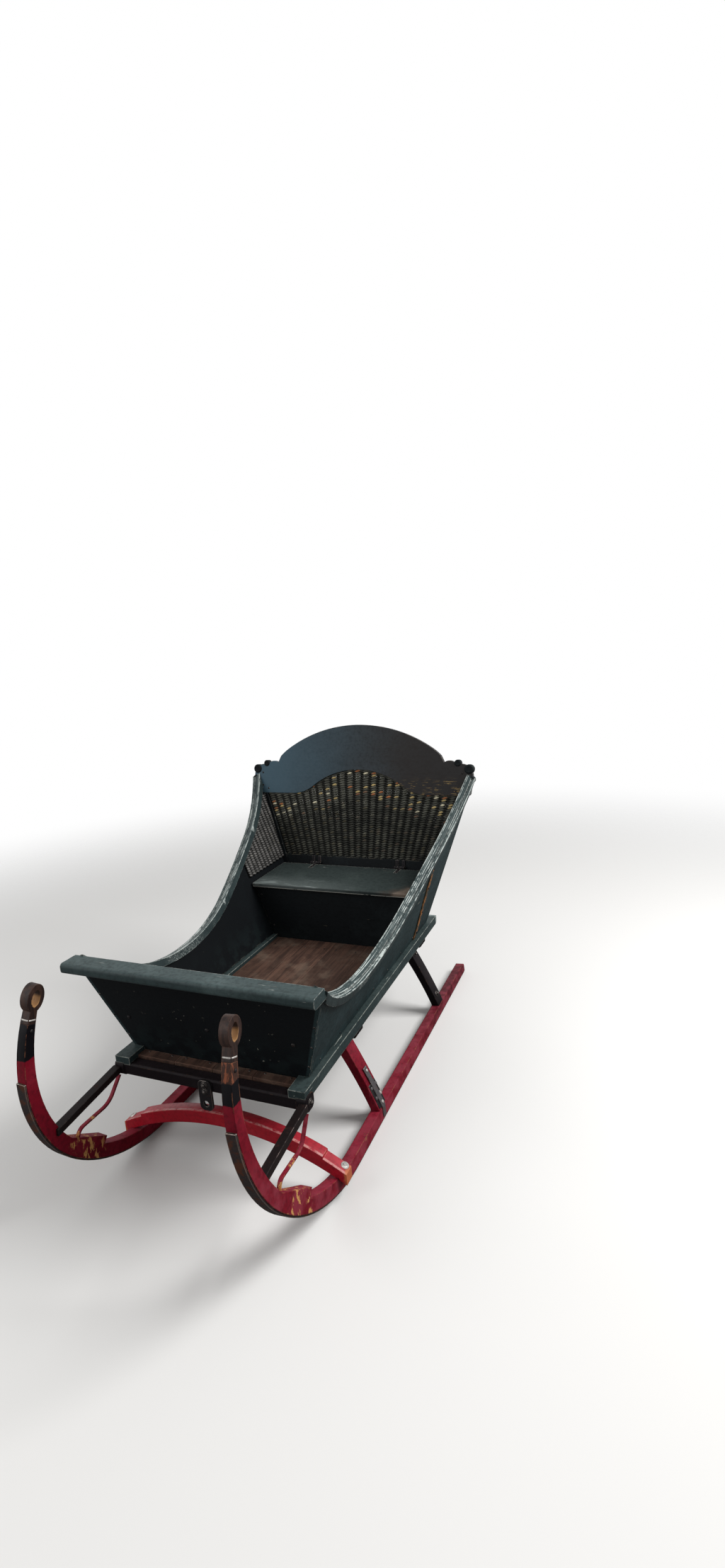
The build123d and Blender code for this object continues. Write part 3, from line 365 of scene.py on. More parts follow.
# Legs and beams: ash posts bolted to the runners, and the cross beams that rest on them. They are
# painted black, and the front legs crimson.
dress(crimson, "front_leg_left", "front_leg_right")
black_paint = painted(
    "black_paint", dye(17, 12, 15), dye(40, 33, 35), dye(7, 6, 7), dye(104, 78, 60),
    grain=ACROSS, rubbed=0.4, flaked=0.2, gloss=0.46, sheen=0.09,
)
black_legs_and_beams = ("rear_leg_left", "rear_leg_right", "middle_cross_beam", "rear_cross_beam")
dress(black_paint, "nose_beam", *black_legs_and_beams)
ease(0.003, "front_leg_left", "front_leg_right", *black_legs_and_beams)

# Front struts and horn braces: straight iron bars in black, and thin bent bars in the runners'
# crimson. Both run from the nose beam, where the struts are bolted, to the runners' bends.
strut_iron = iron("strut_iron", dye(20, 14, 14), dye(52, 30, 26), dye(84, 74, 70), 0.3, 0.15)
dress(strut_iron, "front_strut_left", "front_strut_right")
dress(crimson, "horn_braces")

# Arched beam: sawn and bent, in brighter red over the runners' noses, its ends rubbed to orange
# wood, and a painted highlight over pale worn paint along the ridge in the middle of its top.
ARCH_END_FROM = 0.424
RIDGE_FROM = -0.536


def arch_trim(coat, place, colour):
    ends = abs(place.part(0)) + place.noise(0.02, 4) * 0.03
    ridge = (place.part(1) + place.noise(0.08, 3) * 0.006).step(RIDGE_FROM, RIDGE_FROM - 0.004)
    # Painted highlight over pale worn paint, broken along the ridge of the top.
    ridge_highlight = ridge * coat.upward().step(0.6, 0.85) * place.noise(0.04, 6, 0.7).step(0.42, 0.56)
    colour = (ridge_highlight * 0.75).mix(colour, dye(206, 150, 146))
    orange = ends.step(ARCH_END_FROM, ARCH_END_FROM + 0.01)
    return (orange * 0.85).mix(colour, dye(188, 108, 66))


signal_red = painted(
    "beam_red_paint", dye(158, 20, 36), dye(180, 52, 64), dye(98, 12, 24), dye(214, 150, 132),
    grain=ACROSS, rubbed=0.55, flaked=-0.3, gloss=0.3, sheen=0.3, trim=arch_trim,
)
dress(signal_red, "front_arch_beam")
ease(0.003, "front_arch_beam")

# Sills and floor: two long sills laid on the beams, green with their top edges and ends rubbed
# pale, and four bare planks nailed down between them.
SILL_END_FROM = 0.715
PLANK = 0.14485
FLOOR_EDGE = 0.2887


def sill_trim(coat, place, colour):
    end = (place.part(1) + place.noise(0.02, 4) * 0.02).step(SILL_END_FROM, SILL_END_FROM + 0.007)
    return (end * 0.8).mix(colour, dye(150, 160, 158))


sill_green = painted(
    "sill_paint", dye(38, 50, 51), dye(66, 78, 77), dye(20, 26, 27), dye(172, 176, 168),
    grain=(60, 6, 60), rubbed=1.1, flaked=0.55, gloss=0.46, trim=sill_trim,
)
dress(sill_green, "sill_left", "sill_right")
ease(0.003, "sill_left", "sill_right")


def plank_trim(coat, place, colour):
    number = ((place.part(0) + FLOOR_EDGE) * (1 / PLANK)).floor()
    tone = coat.node("TexWhiteNoise", {"noise_dimensions": "1D"}, {"W": number}, "Value")
    colour = (tone * 0.55).mix(colour, dye(52, 38, 32))
    dust = place.noise(0.11, 5).step(0.48, 0.7) * 0.4
    return dust.mix(colour, dye(122, 104, 90))


floor_wood = bare_wood(
    "floor_wood", dye(98, 72, 60), dye(56, 40, 34), grain=ALONG, gloss=0.68, trim=plank_trim,
)
dress(floor_wood, "floor_boards")

# Side boards, dash, back posts and ledges: thin boards in petrol green paint, nearly black
# inside the body with painted shade, and dirty low down.
FLARE = math.radians(18.8)
# Through a side board: its inner half ends at the first, and its outer one starts at the other.
INSIDE_TO, OUTSIDE_FROM = 0.166, 0.170
DIRT_TOP, DIRT_FULL = 0.55, 0.42


def board_trim(coat, place, colour):
    # Painted shade: the boards' inner faces are made nearly black.
    shaded_inside = place.lain(-FLARE).part(0).step(OUTSIDE_FROM, INSIDE_TO)
    colour = (shaded_inside * 0.94).mix(colour, dye(8, 9, 12))
    dirt = place.part(2).step(DIRT_TOP, DIRT_FULL) * place.noise(0.05, 5).step(0.45, 0.6)
    return (dirt * 0.5).mix(colour, dye(24, 32, 33))


body_green = painted(
    "body_paint", dye(35, 49, 51), dye(54, 71, 74), dye(15, 21, 22), dye(150, 150, 138),
    rubbed=0.6, flaked=0.3, gloss=0.46, sheen=0.1, trim=board_trim,
)
dress(body_green, "side_board_left", "side_board_right", "dash_panel")
dress(body_green, "back_post_left", "back_post_right")
inner_black = painted(
    "inner_paint", dye(20, 23, 25), dye(36, 42, 44), dye(10, 12, 13), dye(110, 104, 92),
    grain=ACROSS, rubbed=0.7, gloss=0.5, sheen=0.08,
)
dress(inner_black, "seat_rail", "lower_back_panel", "lid_ledge_left", "lid_ledge_right")
ease(0.003, "back_post_left", "back_post_right")

# Rails and front cap: moulded strips fixed along the sides' top edges and across the front, grey
# green, with long streaks rubbed white by hands.
rail_spots = [v.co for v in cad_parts["top_rail_left"].data.vertices]
rail_reach = [spot.x * math.cos(FLARE) - spot.z * math.sin(FLARE) for spot in rail_spots]
RAIL_INNER, RAIL_OUTER = min(rail_reach), max(rail_reach)


def rail_trim(coat, place, colour):
    top = coat.upward().step(0.35, 0.5)
    streaks = place.lain(-FLARE, (330, 3, 3)).noise(1.0, 2, 0.5).step(0.56, 0.60)
    gaps = place.noise(0.05, 5, 0.7).step(0.40, 0.52)
    scuffs = place.noise(0.004, 5, 0.7).step(0.50, 0.58) * 0.45
    through = place.lain(-FLARE).part(0) + place.noise(0.03, 3) * 0.003
    inner_rim = through.step(RAIL_INNER + 0.0065, RAIL_INNER + 0.0045)
    outer_rim = through.step(RAIL_OUTER - 0.003, RAIL_OUTER - 0.001)
    rims = inner_rim.either(outer_rim) * top * place.noise(0.04, 5, 0.7).step(0.42, 0.54)
    white = (streaks * gaps * top.either(scuffs)).either(rims * 0.8)
    return white.mix(colour, dye(186, 194, 190))


rail_paint = painted(
    "rail_paint", dye(38, 50, 51), dye(66, 79, 79), dye(19, 26, 27), dye(196, 200, 194),
    grain=(200, 5, 5), rubbed=0.8, flaked=0.35, gloss=0.44, tilt=-FLARE, sheen=0.2,
    trim=rail_trim,
)
dress(rail_paint, "top_rail_left", "top_rail_right")
cap_paint = painted(
    "cap_paint", dye(40, 53, 54), dye(72, 86, 86), dye(20, 28, 29), dye(196, 200, 194),
    grain=(5, 160, 160), rubbed=1.0, flaked=0.7, gloss=0.44, sheen=0.2,
)
dress(cap_paint, "front_cap")
ease(0.0025, "top_rail_left", "top_rail_right")
ease(0.004, "front_cap")

# Crest board: one wide plank sawn to an arch, with painted light in a bluish sheen towards its
# right ear and painted shade in brown black towards its left, with yellow scratches low at its left.
SCRATCHED_BELOW = 1.05
SCRATCHED_FROM = 0.12


def crest_trim(coat, place, colour):
    across = place.part(0) + place.noise(0.25, 3) * 0.2
    # Painted light: a bluish sheen towards the right ear.
    colour = (across.step(0.15, -0.40) * 0.8).mix(colour, dye(66, 92, 106))
    # Painted shade: brown black towards the left ear.
    colour = (across.step(0.05, 0.38) * 0.85).mix(colour, dye(33, 28, 26))
    corner = place.part(2).step(SCRATCHED_BELOW, SCRATCHED_BELOW - 0.05)
    corner = corner * place.part(0).step(SCRATCHED_FROM, SCRATCHED_FROM + 0.1)
    scratches = place.scale((18, 60, 420)).noise(1.0, 5, 0.6).step(0.57, 0.61)
    scratches = scratches * place.noise(0.045, 4).step(0.45, 0.60)
    return (corner * scratches * 0.85).mix(colour, dye(176, 148, 96))


crest_paint = painted(
    "crest_paint", dye(44, 52, 57), dye(58, 70, 77), dye(24, 27, 28), dye(128, 112, 88),
    grain=ACROSS, rubbed=0.6, flaked=0.0, gloss=0.38, sheen=0.16, trim=crest_trim,
)
dress(crest_paint, "crest_board")

# Side straps: flat iron bars nailed to the outside of the side boards and painted with them, now
# rusted orange and rubbed pale along their edges.
strap_iron = iron("strap_iron", dye(36, 40, 38), dye(160, 102, 58), dye(214, 168, 112), 0.7, 1.0)
dress(strap_iron, "side_strap_left", "side_strap_right")


# Woven back and side linings: split willow worked in and out of upright stakes, painted dark
# green. The paint has gone from some of the bends near the top, where the willow shows yellow.
def piece(name, points, faces, material, body, smooth=True):
    """A new named piece of the sleigh in place, riding on a body and finished from a slot."""
    mesh = bpy.data.meshes.new(name)
    mesh.from_pydata(points, [], faces)
    mesh.update()
    if smooth:
        mesh.shade_smooth()
    mesh.materials.append(material)
    made = bpy.data.objects.new(name, mesh)
    bpy.context.scene.collection.objects.link(made)
    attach(made, body)
    return made


def tube(points, faces, path, wide, deep, sideways, sides=6):
    """Adds a round or flattened rod along path, wide across it and deep along sideways."""
    base = len(points)
    for index, spot in enumerate(path):
        ahead = (path[min(index + 1, len(path) - 1)] - path[max(index - 1, 0)]).normalized()
        across = ahead.cross(sideways).normalized()
        out = across.cross(ahead)
        for side in range(sides):
            angle = 2 * math.pi * side / sides
            points.append(spot + across * (wide * math.cos(angle)) + out * (deep * math.sin(angle)))
    for ring in range(len(path) - 1):
        for side in range(sides):
            low = base + ring * sides
            after = (side + 1) % sides
            faces.append((low + side, low + after, low + sides + after, low + sides + side))
    faces.append(tuple(range(base + sides - 1, base - 1, -1)))
    faces.append(tuple(range(base + (len(path) - 1) * sides, base + len(path) * sides)))


def reach(node, across, up, height):
    """How far a CAD panel reaches across at a height up its plane: lowest and highest."""
    spots = [(v.co.dot(across), v.co.dot(up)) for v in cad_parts[node].data.vertices]
    found = []
    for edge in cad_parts[node].data.edges:
        (a, low), (b, high) = sorted((spots[v] for v in edge.vertices), key=lambda s: s[1])
        if low <= height <= high and high - low > 1e-9:
            found.append(a + (b - a) * (height - low) / (high - low))
    return (min(found), max(found)) if found else None


def depths(node, out):
    """Lowest and highest reach of a CAD panel along out."""
    found = [v.co.dot(out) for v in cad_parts[node].data.vertices]
    return min(found), max(found)


STAKE_PITCH = 0.030
STAKE_HALF = 0.006
STAKE_RUN = 12
ROD_PITCH = 0.0105
RIM_HALF = 0.0045
RIM_RUN = 80
# How far rods stand out between stakes and over them, and the rim, as shares of the panel's half.
VALLEY = 0.1
CROWN = 0.62
RIM_PROUD = 0.38


def weave(name, node, across, up, fan, rim_from, material):
    """Willow twined round stakes inside the CAD panel's outline.

    fan is how much wider it is at the top. The rim rod runs over the top from one side of the
    outline to the other, whose reach is taken at the share rim_from of the height.
    """
    chance = random.Random(name)
    out = across.cross(up)
    behind, ahead = depths(node, out)
    middle, half = (behind + ahead) / 2, (ahead - behind) / 2
    low, high = depths(node, up)
    points, faces = [], []
    rows = int((high - low) / ROD_PITCH)
    for row in range(rows):
        height = low + (row + 0.5) * (high - low) / rows
        span = reach(node, across, up, height)
        if span is None or span[1] - span[0] < STAKE_PITCH:
            continue
        spread = 1 + (fan - 1) * (height - low) / (high - low)
        steps = max(2, round((span[1] - span[0]) / STAKE_PITCH * 4))
        tall = ROD_PITCH * chance.uniform(0.52, 0.58)
        for face in (1, -1):
            path = []
            for k in range(steps + 1):
                a = span[0] + 0.001 + (span[1] - span[0] - 0.002) * k / steps
                swell = abs(math.cos(math.pi * a / spread / STAKE_PITCH)) ** 0.8
                slant = 0.0022 * math.sin(2 * math.pi * a / spread / STAKE_PITCH)
                wave = VALLEY + (CROWN - VALLEY) * swell * chance.uniform(0.82, 1.0)
                lifted = min(height + slant, high - 0.003)
                path.append(across * a + up * lifted + out * (middle + face * wave * half))
            tube(points, faces, path, tall, (1 - CROWN) * half, out, 5)
    for face in (1, -1):
        rim = []
        left, right = reach(node, across, up, low + rim_from * (high - low))
        for k in range(RIM_RUN + 1):
            a = left + 0.002 + (right - left - 0.004) * k / RIM_RUN
            height = reach(node, up, across, a)[1] - RIM_HALF
            proud = middle + face * RIM_PROUD * half
            rim.append(across * a + up * height + out * proud)
        tube(points, faces, rim, RIM_HALF, RIM_PROUD * half, out)
    left, right = reach(node, across, up, low + 0.002)
    for stake in range(math.ceil(left / STAKE_PITCH), math.floor(right / STAKE_PITCH) + 1):
        path = []
        for k in range(STAKE_RUN + 1):
            height = low + (high - low) * k / STAKE_RUN
            a = stake * STAKE_PITCH * (1 + (fan - 1) * k / STAKE_RUN)
            span = reach(node, across, up, min(height + 0.004, high))
            if span is None or not span[0] < a < span[1]:
                break
            path.append(across * a + up * height + out * middle)
        if len(path) > 1:
            tube(points, faces, path, STAKE_HALF, 2 * VALLEY * half, out)
    made = piece(name, points, faces, material, "frame")
    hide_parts(node)


def willow(name, fresh, faded_and_lit, bare, bare_above, share, node, across, up, fan):
    """Painted willow, each crown of a rod its own tone. Above a height some crowns are bare."""
    material, coat, place, _, _ = new_coat(name)
    mirrored = place if fan > 1 else place.lain(0)
    out = across.cross(up)
    behind, ahead = depths(node, out)
    crown = abs((mirrored.along(out) - (behind + ahead) / 2) * (2 / (ahead - behind)))
    low, high = depths(node, up)
    rise = mirrored.along(up) - low
    column = mirrored.along(across) * (1 / STAKE_PITCH)
    column = column / (1 + rise * ((fan - 1) / (high - low))) + 0.5
    row = rise * (int((high - low) / ROD_PITCH) / (high - low))
    cell = coat.node("CombineXYZ", (), {0: column.floor(), 1: row.floor()})
    spots = coat.node("TexWhiteNoise", {"noise_dimensions": "3D"}, {"Vector": cell}, "Color")
    mottle = place.noise(0.004, 5)
    strand = place.scale((14, 14, 420)).noise(1.0, 4)
    height = place.part(2) + abs(place.part(0)) * 0.22 + place.noise(0.05, 3) * 0.1
    upper = height.step(bare_above, bare_above + 0.06)
    chosen = spots.part(0).step(1.0 - share, 1.02 - share) * (upper * 0.94 + 0.06)
    gone = chosen * crown.step(0.70, 0.84) * mottle.step(0.32, 0.44)
    age = place.noise(0.05, 4).step(0.35, 0.7) * 0.3 + upper * 0.4 + spots.part(1) * 0.3
    colour = age.mix(fresh, faded_and_lit)
    # Painted shade: the hollows between the rods are darkened nearly to black.
    valley_shade = (crown + mottle * 0.16).step(0.93, 0.66)
    colour = (valley_shade * 0.9).mix(colour, shade(fresh, 0.12))
    colour = (strand.step(0.5, 0.7) * 0.4).mix(colour, shade(fresh, 0.35))
    wood = spots.part(1).step(0.6, 0.61).mix(bare, dye(168, 106, 68))
    wood = spots.part(2).step(0.7, 0.71).mix(wood, dye(222, 214, 184))
    uneven = {"Strength": 0.6, "Distance": 0.0008, "Height": strand + mottle * 0.5}
    coat.finish({
        "Base Color": gone.mix(colour, wood),
        "Roughness": 0.5 + mottle * 0.3,
        "Specular IOR Level": 0.12,
        "Normal": coat.node("Bump", (), uneven),
    })
    return material


BACK_LEAN = math.radians(10)
BACK_FAN = 1.362
BACK_RIM_FROM = 0.715
SIDE_RIM_FROM = 0.97
across_back = Vector((1, 0, 0))
up_back = Vector((0, math.sin(BACK_LEAN), math.cos(BACK_LEAN)))
back_willow = willow(
    "back_willow", dye(38, 39, 36), dye(100, 100, 91), dye(190, 168, 116), 0.97, 0.24,
    "woven_back", across_back, up_back, BACK_FAN,
)
weave("willow_back", "woven_back", across_back, up_back, BACK_FAN, BACK_RIM_FROM, back_willow)
side_willow = willow(
    "side_willow", dye(78, 77, 75), dye(144, 141, 138), dye(190, 176, 120), 1.10, 0.12,
    "woven_side_left", Vector((0, 1, 0)), Vector((math.sin(FLARE), 0, math.cos(FLARE))), 1.0,
)
SIDES = ((1, "left"), (-1, "right"))
for side, name in SIDES:
    along_side = Vector((0, side, 0))
    up_side = Vector((side * math.sin(FLARE), 0, math.cos(FLARE)))
    lining = "woven_side_" + name
    weave("willow_side_" + name, lining, along_side, up_side, 1.0, SIDE_RIM_FROM, side_willow)

# Seat: a box front in near black paint, and a board lid rubbed pale along its edges and bare at
# its left corner, on iron hinges. Grey streaks at the lid's front right are a painted sheen, and
# its front lip has a painted highlight over pale worn paint.
LID_SHEEN_TO, LID_SHEEN_FULL = 0.48, 0.35
LID_FRONT = 0.347
LID_LIP_TOP = 0.6275
BARE_CORNER_FROM = 0.09


def lid_trim(coat, place, colour):
    across, length = place.part(0), place.part(1)
    corner = (across - length + place.noise(0.08, 5) * 0.2).step(-0.03, 0.06)
    colour = (corner * 0.7).mix(colour, dye(74, 62, 54))
    # Painted light: a grey sheen in streaks towards the front right of the lid.
    lid_sheen = place.scale((9, 60, 60)).noise(1.0, 5, 0.65).step(0.52, 0.68)
    front = length.step(LID_SHEEN_TO, LID_SHEEN_FULL) * across.step(0.2, -0.15)
    colour = ((lid_sheen * 0.7 + 0.3) * front * 0.85).mix(colour, dye(126, 134, 132))
    bare = across - length * 0.6 + place.noise(0.03, 5, 0.7) * 0.06
    bare = bare.step(BARE_CORNER_FROM, BARE_CORNER_FROM + 0.035)
    colour = (bare * 0.55).mix(colour, dye(142, 126, 112))
    # Painted highlight over pale worn paint along the lid's front lip.
    lip_highlight = length.step(LID_FRONT + 0.002, LID_FRONT)
    lip_highlight = lip_highlight * place.part(2).step(LID_LIP_TOP, LID_LIP_TOP - 0.002)
    lip_highlight = lip_highlight * place.noise(0.05, 5, 0.7).step(0.34, 0.44)
    return (lip_highlight * 0.8).mix(colour, dye(176, 178, 172))


dress(inner_black, "seat_box_front")
lid_grey = painted(
    "lid_paint", dye(34, 42, 42), dye(58, 66, 64), dye(20, 25, 25), dye(200, 198, 188),
    grain=ACROSS, rubbed=1.3, flaked=0.3, sheen=0.16, trim=lid_trim,
)
dress(lid_grey, "seat_lid")
black_iron = iron("black_iron", dye(20, 18, 20), dye(64, 38, 28), dye(112, 106, 102), 0.25, 0.4)
dress(black_iron, "lid_hinge_straps", "lid_hinge_plates")

# Draft iron: a short forged bar, by which the sleigh is drawn. It is bolted to the front of the
# nose beam, and black as the hinges are.
dress(black_iron, "draft_iron")

# Leg straps: a flat bar down the outer face of each front leg and over the runner, in dull grey
# iron, which holds the leg to the runner, beside a thin black foot plate.
OUTBOARD = 0.7
LEG_MIDDLE = -0.17
PLATE_HEIGHTS = (0.135, 0.115, 0.095, 0.075, 0.055)
PLATE_WIDE, PLATE_THICK = 0.052, 0.003
STRAP_LEG_HEIGHTS = (0.188, 0.16, 0.13, 0.10, 0.07, 0.052)
STRAP_RUNNER_HEIGHTS = (0.044, 0.030, 0.016)
STRAP_WIDE, STRAP_THICK = 0.022, 0.0045
STRAP_BOLT_LIFT = 0.0072


def hit(node, start, aim):
    """Where a line from start along aim meets a CAD node, and the outward direction there."""
    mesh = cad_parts[node].data
    corners = [tuple(p.vertices) for p in mesh.polygons]
    tree = BVHTree.FromPolygons([v.co for v in mesh.vertices], corners)
    spot, outward, _, _ = tree.ray_cast(Vector(start), Vector(aim).normalized())
    return spot, outward


def flat_bar(points, faces, line, wide, thick):
    """Adds a bar with eased edges that lies on a line of spots with their outward directions."""
    start = len(points)
    for spot, outward in line:
        for lift in (0.0002, thick):
            for edge in (-1, -0.8, 0.8, 1):
                drop = thick * 0.3 if abs(edge) == 1 and lift == thick else 0
                points.append(spot + outward * (lift - drop) + Vector((0, edge * wide / 2, 0)))
    around = (0, 1, 2, 3, 7, 6, 5, 4)
    for row in range(len(line) - 1):
        base = start + row * 8
        for a, b in zip(around, around[1:] + around[:1]):
            faces.append((base + a, base + b, base + 8 + b, base + 8 + a))
    faces.append(tuple(start + k for k in reversed(around)))
    faces.append(tuple(start + 8 * (len(line) - 1) + k for k in around))


dull_iron = iron("dull_iron", dye(66, 64, 66), dye(84, 60, 50), dye(170, 166, 162), 0.25, 0.7)
for side, name in SIDES:
    inward = (-side, 0, 0)
    plate, strap = [], []
    for height in PLATE_HEIGHTS:
        plate.append(hit("front_leg_" + name, (side * OUTBOARD, LEG_MIDDLE, height), inward))
    for height in STRAP_LEG_HEIGHTS:
        spot, outward = hit("front_leg_" + name, (side * OUTBOARD, LEG_MIDDLE, height), inward)
        strap.append((spot + outward * PLATE_THICK, outward))
    for height in STRAP_RUNNER_HEIGHTS:
        strap.append(hit("runner_" + name, (side * OUTBOARD, LEG_MIDDLE, height), inward))
    points, faces = [], []
    flat_bar(points, faces, strap, STRAP_WIDE, STRAP_THICK)
    bar = piece("leg_strap_" + name, points, faces, dull_iron, "frame", smooth=False)
    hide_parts("leg_stay_" + name)
    points, faces = [], []
    flat_bar(points, faces, plate, PLATE_WIDE, PLATE_THICK)
    piece("leg_plate_" + name, points, faces, black_iron, "frame", smooth=False)

# Fastenings: domed carriage bolts, hexagon nuts on washers and wrought nails, black where the iron
# is old and bright on the few that were renewed. Profiles are radius and rise, in head sizes.
DOME = ((1.0, -0.15), (1.0, 0.1), (0.86, 0.4), (0.52, 0.62), (0.0, 0.7))
WASHER = ((1.7, -0.1), (1.7, 0.18), (1.55, 0.25), (0.0, 0.25))
NUT = ((1.0, 0.2), (1.0, 0.95), (0.86, 1.1), (0.5, 1.1), (0.5, 1.4), (0.4, 1.5), (0.0, 1.5))
NAIL = ((1.0, -0.2), (0.95, 0.12), (0.55, 0.32), (0.0, 0.38))
NUT_ON_WASHER = ((WASHER, 14), (NUT, 6))
EDGE_SLOPE = 0.34
DOWN = (0, 0, -1)
REARWARD = (0, 1, 0)


def turned(points, faces, spot, outward, size, profile, sides):
    """Adds a profile turned round outward at spot."""
    across = outward.orthogonal().normalized()
    along = outward.cross(across)
    rings = []
    for radius, rise in profile:
        count = sides if radius else 1
        rings.append(list(range(len(points), len(points) + count)))
        for k in range(count):
            angle = 2 * math.pi * k / count
            ring = across * math.cos(angle) + along * math.sin(angle)
            points.append(spot + ring * (radius * size) + outward * (rise * size))
    faces.append(tuple(reversed(rings[0])))
    for low, high in zip(rings, rings[1:]):
        for k in range(sides):
            after = (k + 1) % sides
            if len(high) == 1:
                faces.append((low[k], low[after], high[0]))
            else:
                faces.append((low[k], low[after], high[after], high[k]))


def studs(name, kinds, size, heads, material, body="frame", lift=0.0):
    """One piece of like heads: kinds are profiles with their sides, heads are nodes and lines."""
    chance = random.Random(name)
    points, faces = [], []
    for node, start, aim in heads:
        spot, outward = hit(node, start, aim)
        tipped = outward + Vector([chance.uniform(-0.04, 0.04) for _ in range(3)])
        tipped.normalize()
        for profile, sides in kinds:
            head = size * chance.uniform(0.94, 1.06)
            turned(points, faces, spot + outward * lift, tipped, head, profile, sides)
    piece(name, points, faces, material, body, smooth=False)


def outside(node, *spots, start=OUTBOARD):
    """Lines onto the outer faces of a left and right pair, at spots of y and height."""
    return [
        (node + "_" + name, (side * start, y, height), (-side, 0, 0))
        for side, name in SIDES for y, height in spots
    ]


def in_front(node, start, *spots):
    """Lines from start along y onto the front of a node, at spots of x and height."""
    return [(node, (x, start, height), REARWARD) for x, height in spots]


def on_top(node, start, *spots):
    """Lines from the height start down onto the top of a node, at spots of x and y."""
    return [(node, (x, y, start), DOWN) for x, y in spots]


def up_flared_edge(foot, bottom, heights):
    """Spots of x and height up both edges of a panel that widens from foot at bottom."""
    return [(side * (foot + EDGE_SLOPE * (h - bottom)), h) for side, _ in SIDES for h in heights]


bright_iron = iron(
    "bright_iron", dye(150, 146, 142), dye(96, 70, 54), dye(226, 222, 216), 0.12, 0.9,
)
studs(
    "arch_bolts", ((WASHER, 16), (DOME, 12)), 0.0075,
    on_top("front_arch_beam", 0.3, (0.404, -0.522), (-0.404, -0.522)), bright_iron,
)
studs(
    "leg_dome_bolts", ((DOME, 14),), 0.0075, outside("front_leg", (-0.152, 0.088)),
    bright_iron, lift=PLATE_THICK,
)
studs(
    "leg_plate_bolts", ((DOME, 14),), 0.0065,
    outside("front_leg", (-0.188, 0.088), (-0.188, 0.122), (-0.152, 0.122)),
    dull_iron, lift=PLATE_THICK,
)
studs(
    "leg_strap_bolts", ((DOME, 12),), 0.0065,
    outside("front_leg", (LEG_MIDDLE, 0.065), (LEG_MIDDLE, 0.176)),
    bright_iron, lift=STRAP_BOLT_LIFT,
)
studs(
    "horn_bolts", ((DOME, 12),), 0.005,
    [
        ("runner_" + name, (side * 0.3 + face * 0.3, -0.931, 0.672), (-face, 0, 0))
        for side, name in SIDES for face in (1, -1)
    ], black_iron,
)
studs(
    "strap_nails", ((DOME, 10),), 0.0055,
    outside(
        "side_strap",
        *((0.4525 - 0.10 * (h - 0.42), h) for h in (0.43, 0.53, 0.64, 0.73)), start=0.9,
    ), black_iron,
)
studs(
    "rear_leg_nuts", NUT_ON_WASHER, 0.0075,
    outside("rear_leg", (0.57, 0.09), (0.57, 0.27)), black_iron,
)
studs(
    "draft_bolts", NUT_ON_WASHER, 0.007,
    in_front("draft_iron", -0.8, (0, 0.362), (0, 0.341)), black_iron,
)
studs(
    "strut_bolts", NUT_ON_WASHER, 0.007,
    [("nose_beam", (side * 0.6, -0.598, 0.355), (-side, 0, 0)) for side, _ in SIDES],
    black_iron,
)
studs(
    "dash_bolts", ((DOME, 12),), 0.007,
    in_front("dash_panel", -0.95, (-0.3, 0.52), (0.0, 0.52), (0.3, 0.52)), black_iron,
)
studs(
    "dash_nails", ((NAIL, 8),), 0.0045,
    in_front("dash_panel", -0.95, *up_flared_edge(0.315, 0.39, (0.44, 0.52, 0.60, 0.68))),
    black_iron,
)
studs(
    "crest_nails", ((NAIL, 8),), 0.005,
    in_front("crest_board", -0.2, *(
        (side * x, height)
        for side, _ in SIDES for x, height in ((0.495, 1.0), (0.495, 1.06), (0.465, 0.985))
    )), black_iron,
)
studs(
    "floor_nails", ((NAIL, 8),), 0.004,
    on_top("floor_boards", 0.5, *(
        ((plank + 0.5) * PLANK - FLOOR_EDGE + edge, y)
        for plank in range(4) for edge in (-0.045, 0.045) for y in (-0.55, -0.17, 0.30)
    )), black_iron,
)
studs(
    "box_nails", ((NAIL, 8),), 0.004,
    in_front("seat_box_front", 0.1, *up_flared_edge(0.30, 0.44, (0.44, 0.51, 0.58))), black_iron,
)
studs(
    "side_nails", ((NAIL, 8),), 0.0042,
    outside(
        "side_board",
        *((y, 0.418) for y in (-0.48, -0.33, -0.18, -0.03, 0.12, 0.27, 0.42, 0.57)), start=0.9,
    ), black_iron,
)
studs(
    "lid_screws", ((NAIL, 10),), 0.0042,
    on_top(
        "lid_hinge_straps", 0.8, *((side * 0.21, y) for side, _ in SIDES for y in (0.592, 0.612)),
    ), black_iron, body="seat_lid",
)

# Horn ferrules: thin pale iron bands driven over the foot of each horn eye, rounded square as the
# neck is, to keep it from splitting.
FERRULE_RISE = 0.011
FERRULE_HALF_SIDE, FERRULE_HALF_DEEP = 0.0141, 0.0134
FERRULE_TALL, FERRULE_THICK = 0.0045, 0.0015
FERRULE_POINTS = 24
# Rise and growth round the band's section, as shares of its height and its thickness.
FERRULE_SECTION = ((-0.5, 0), (-0.5, 0.8), (-0.25, 1), (0.25, 1), (0.5, 0.8), (0.5, 0))


def ferrule(points, faces, centre, axis, side_way):
    """Adds a rounded square band round axis."""
    deep_way = axis.cross(side_way)
    loops = []
    for rise, grow in FERRULE_SECTION:
        level = centre + axis * (rise * FERRULE_TALL)
        half_side = FERRULE_HALF_SIDE + grow * FERRULE_THICK
        half_deep = FERRULE_HALF_DEEP + grow * FERRULE_THICK
        loops.append(list(range(len(points), len(points) + FERRULE_POINTS)))
        for k in range(FERRULE_POINTS):
            angle = 2 * math.pi * k / FERRULE_POINTS
            c, s = math.cos(angle), math.sin(angle)
            bulge = (abs(c) ** 5 + abs(s) ** 5) ** -0.2
            wide, deep = c * bulge * half_side, s * bulge * half_deep
            points.append(level + side_way * wide + deep_way * deep)
    for low, high in zip(loops, loops[1:] + loops[:1]):
        for k in range(FERRULE_POINTS):
            after = (k + 1) % FERRULE_POINTS
            faces.append((low[k], low[after], high[after], high[k]))


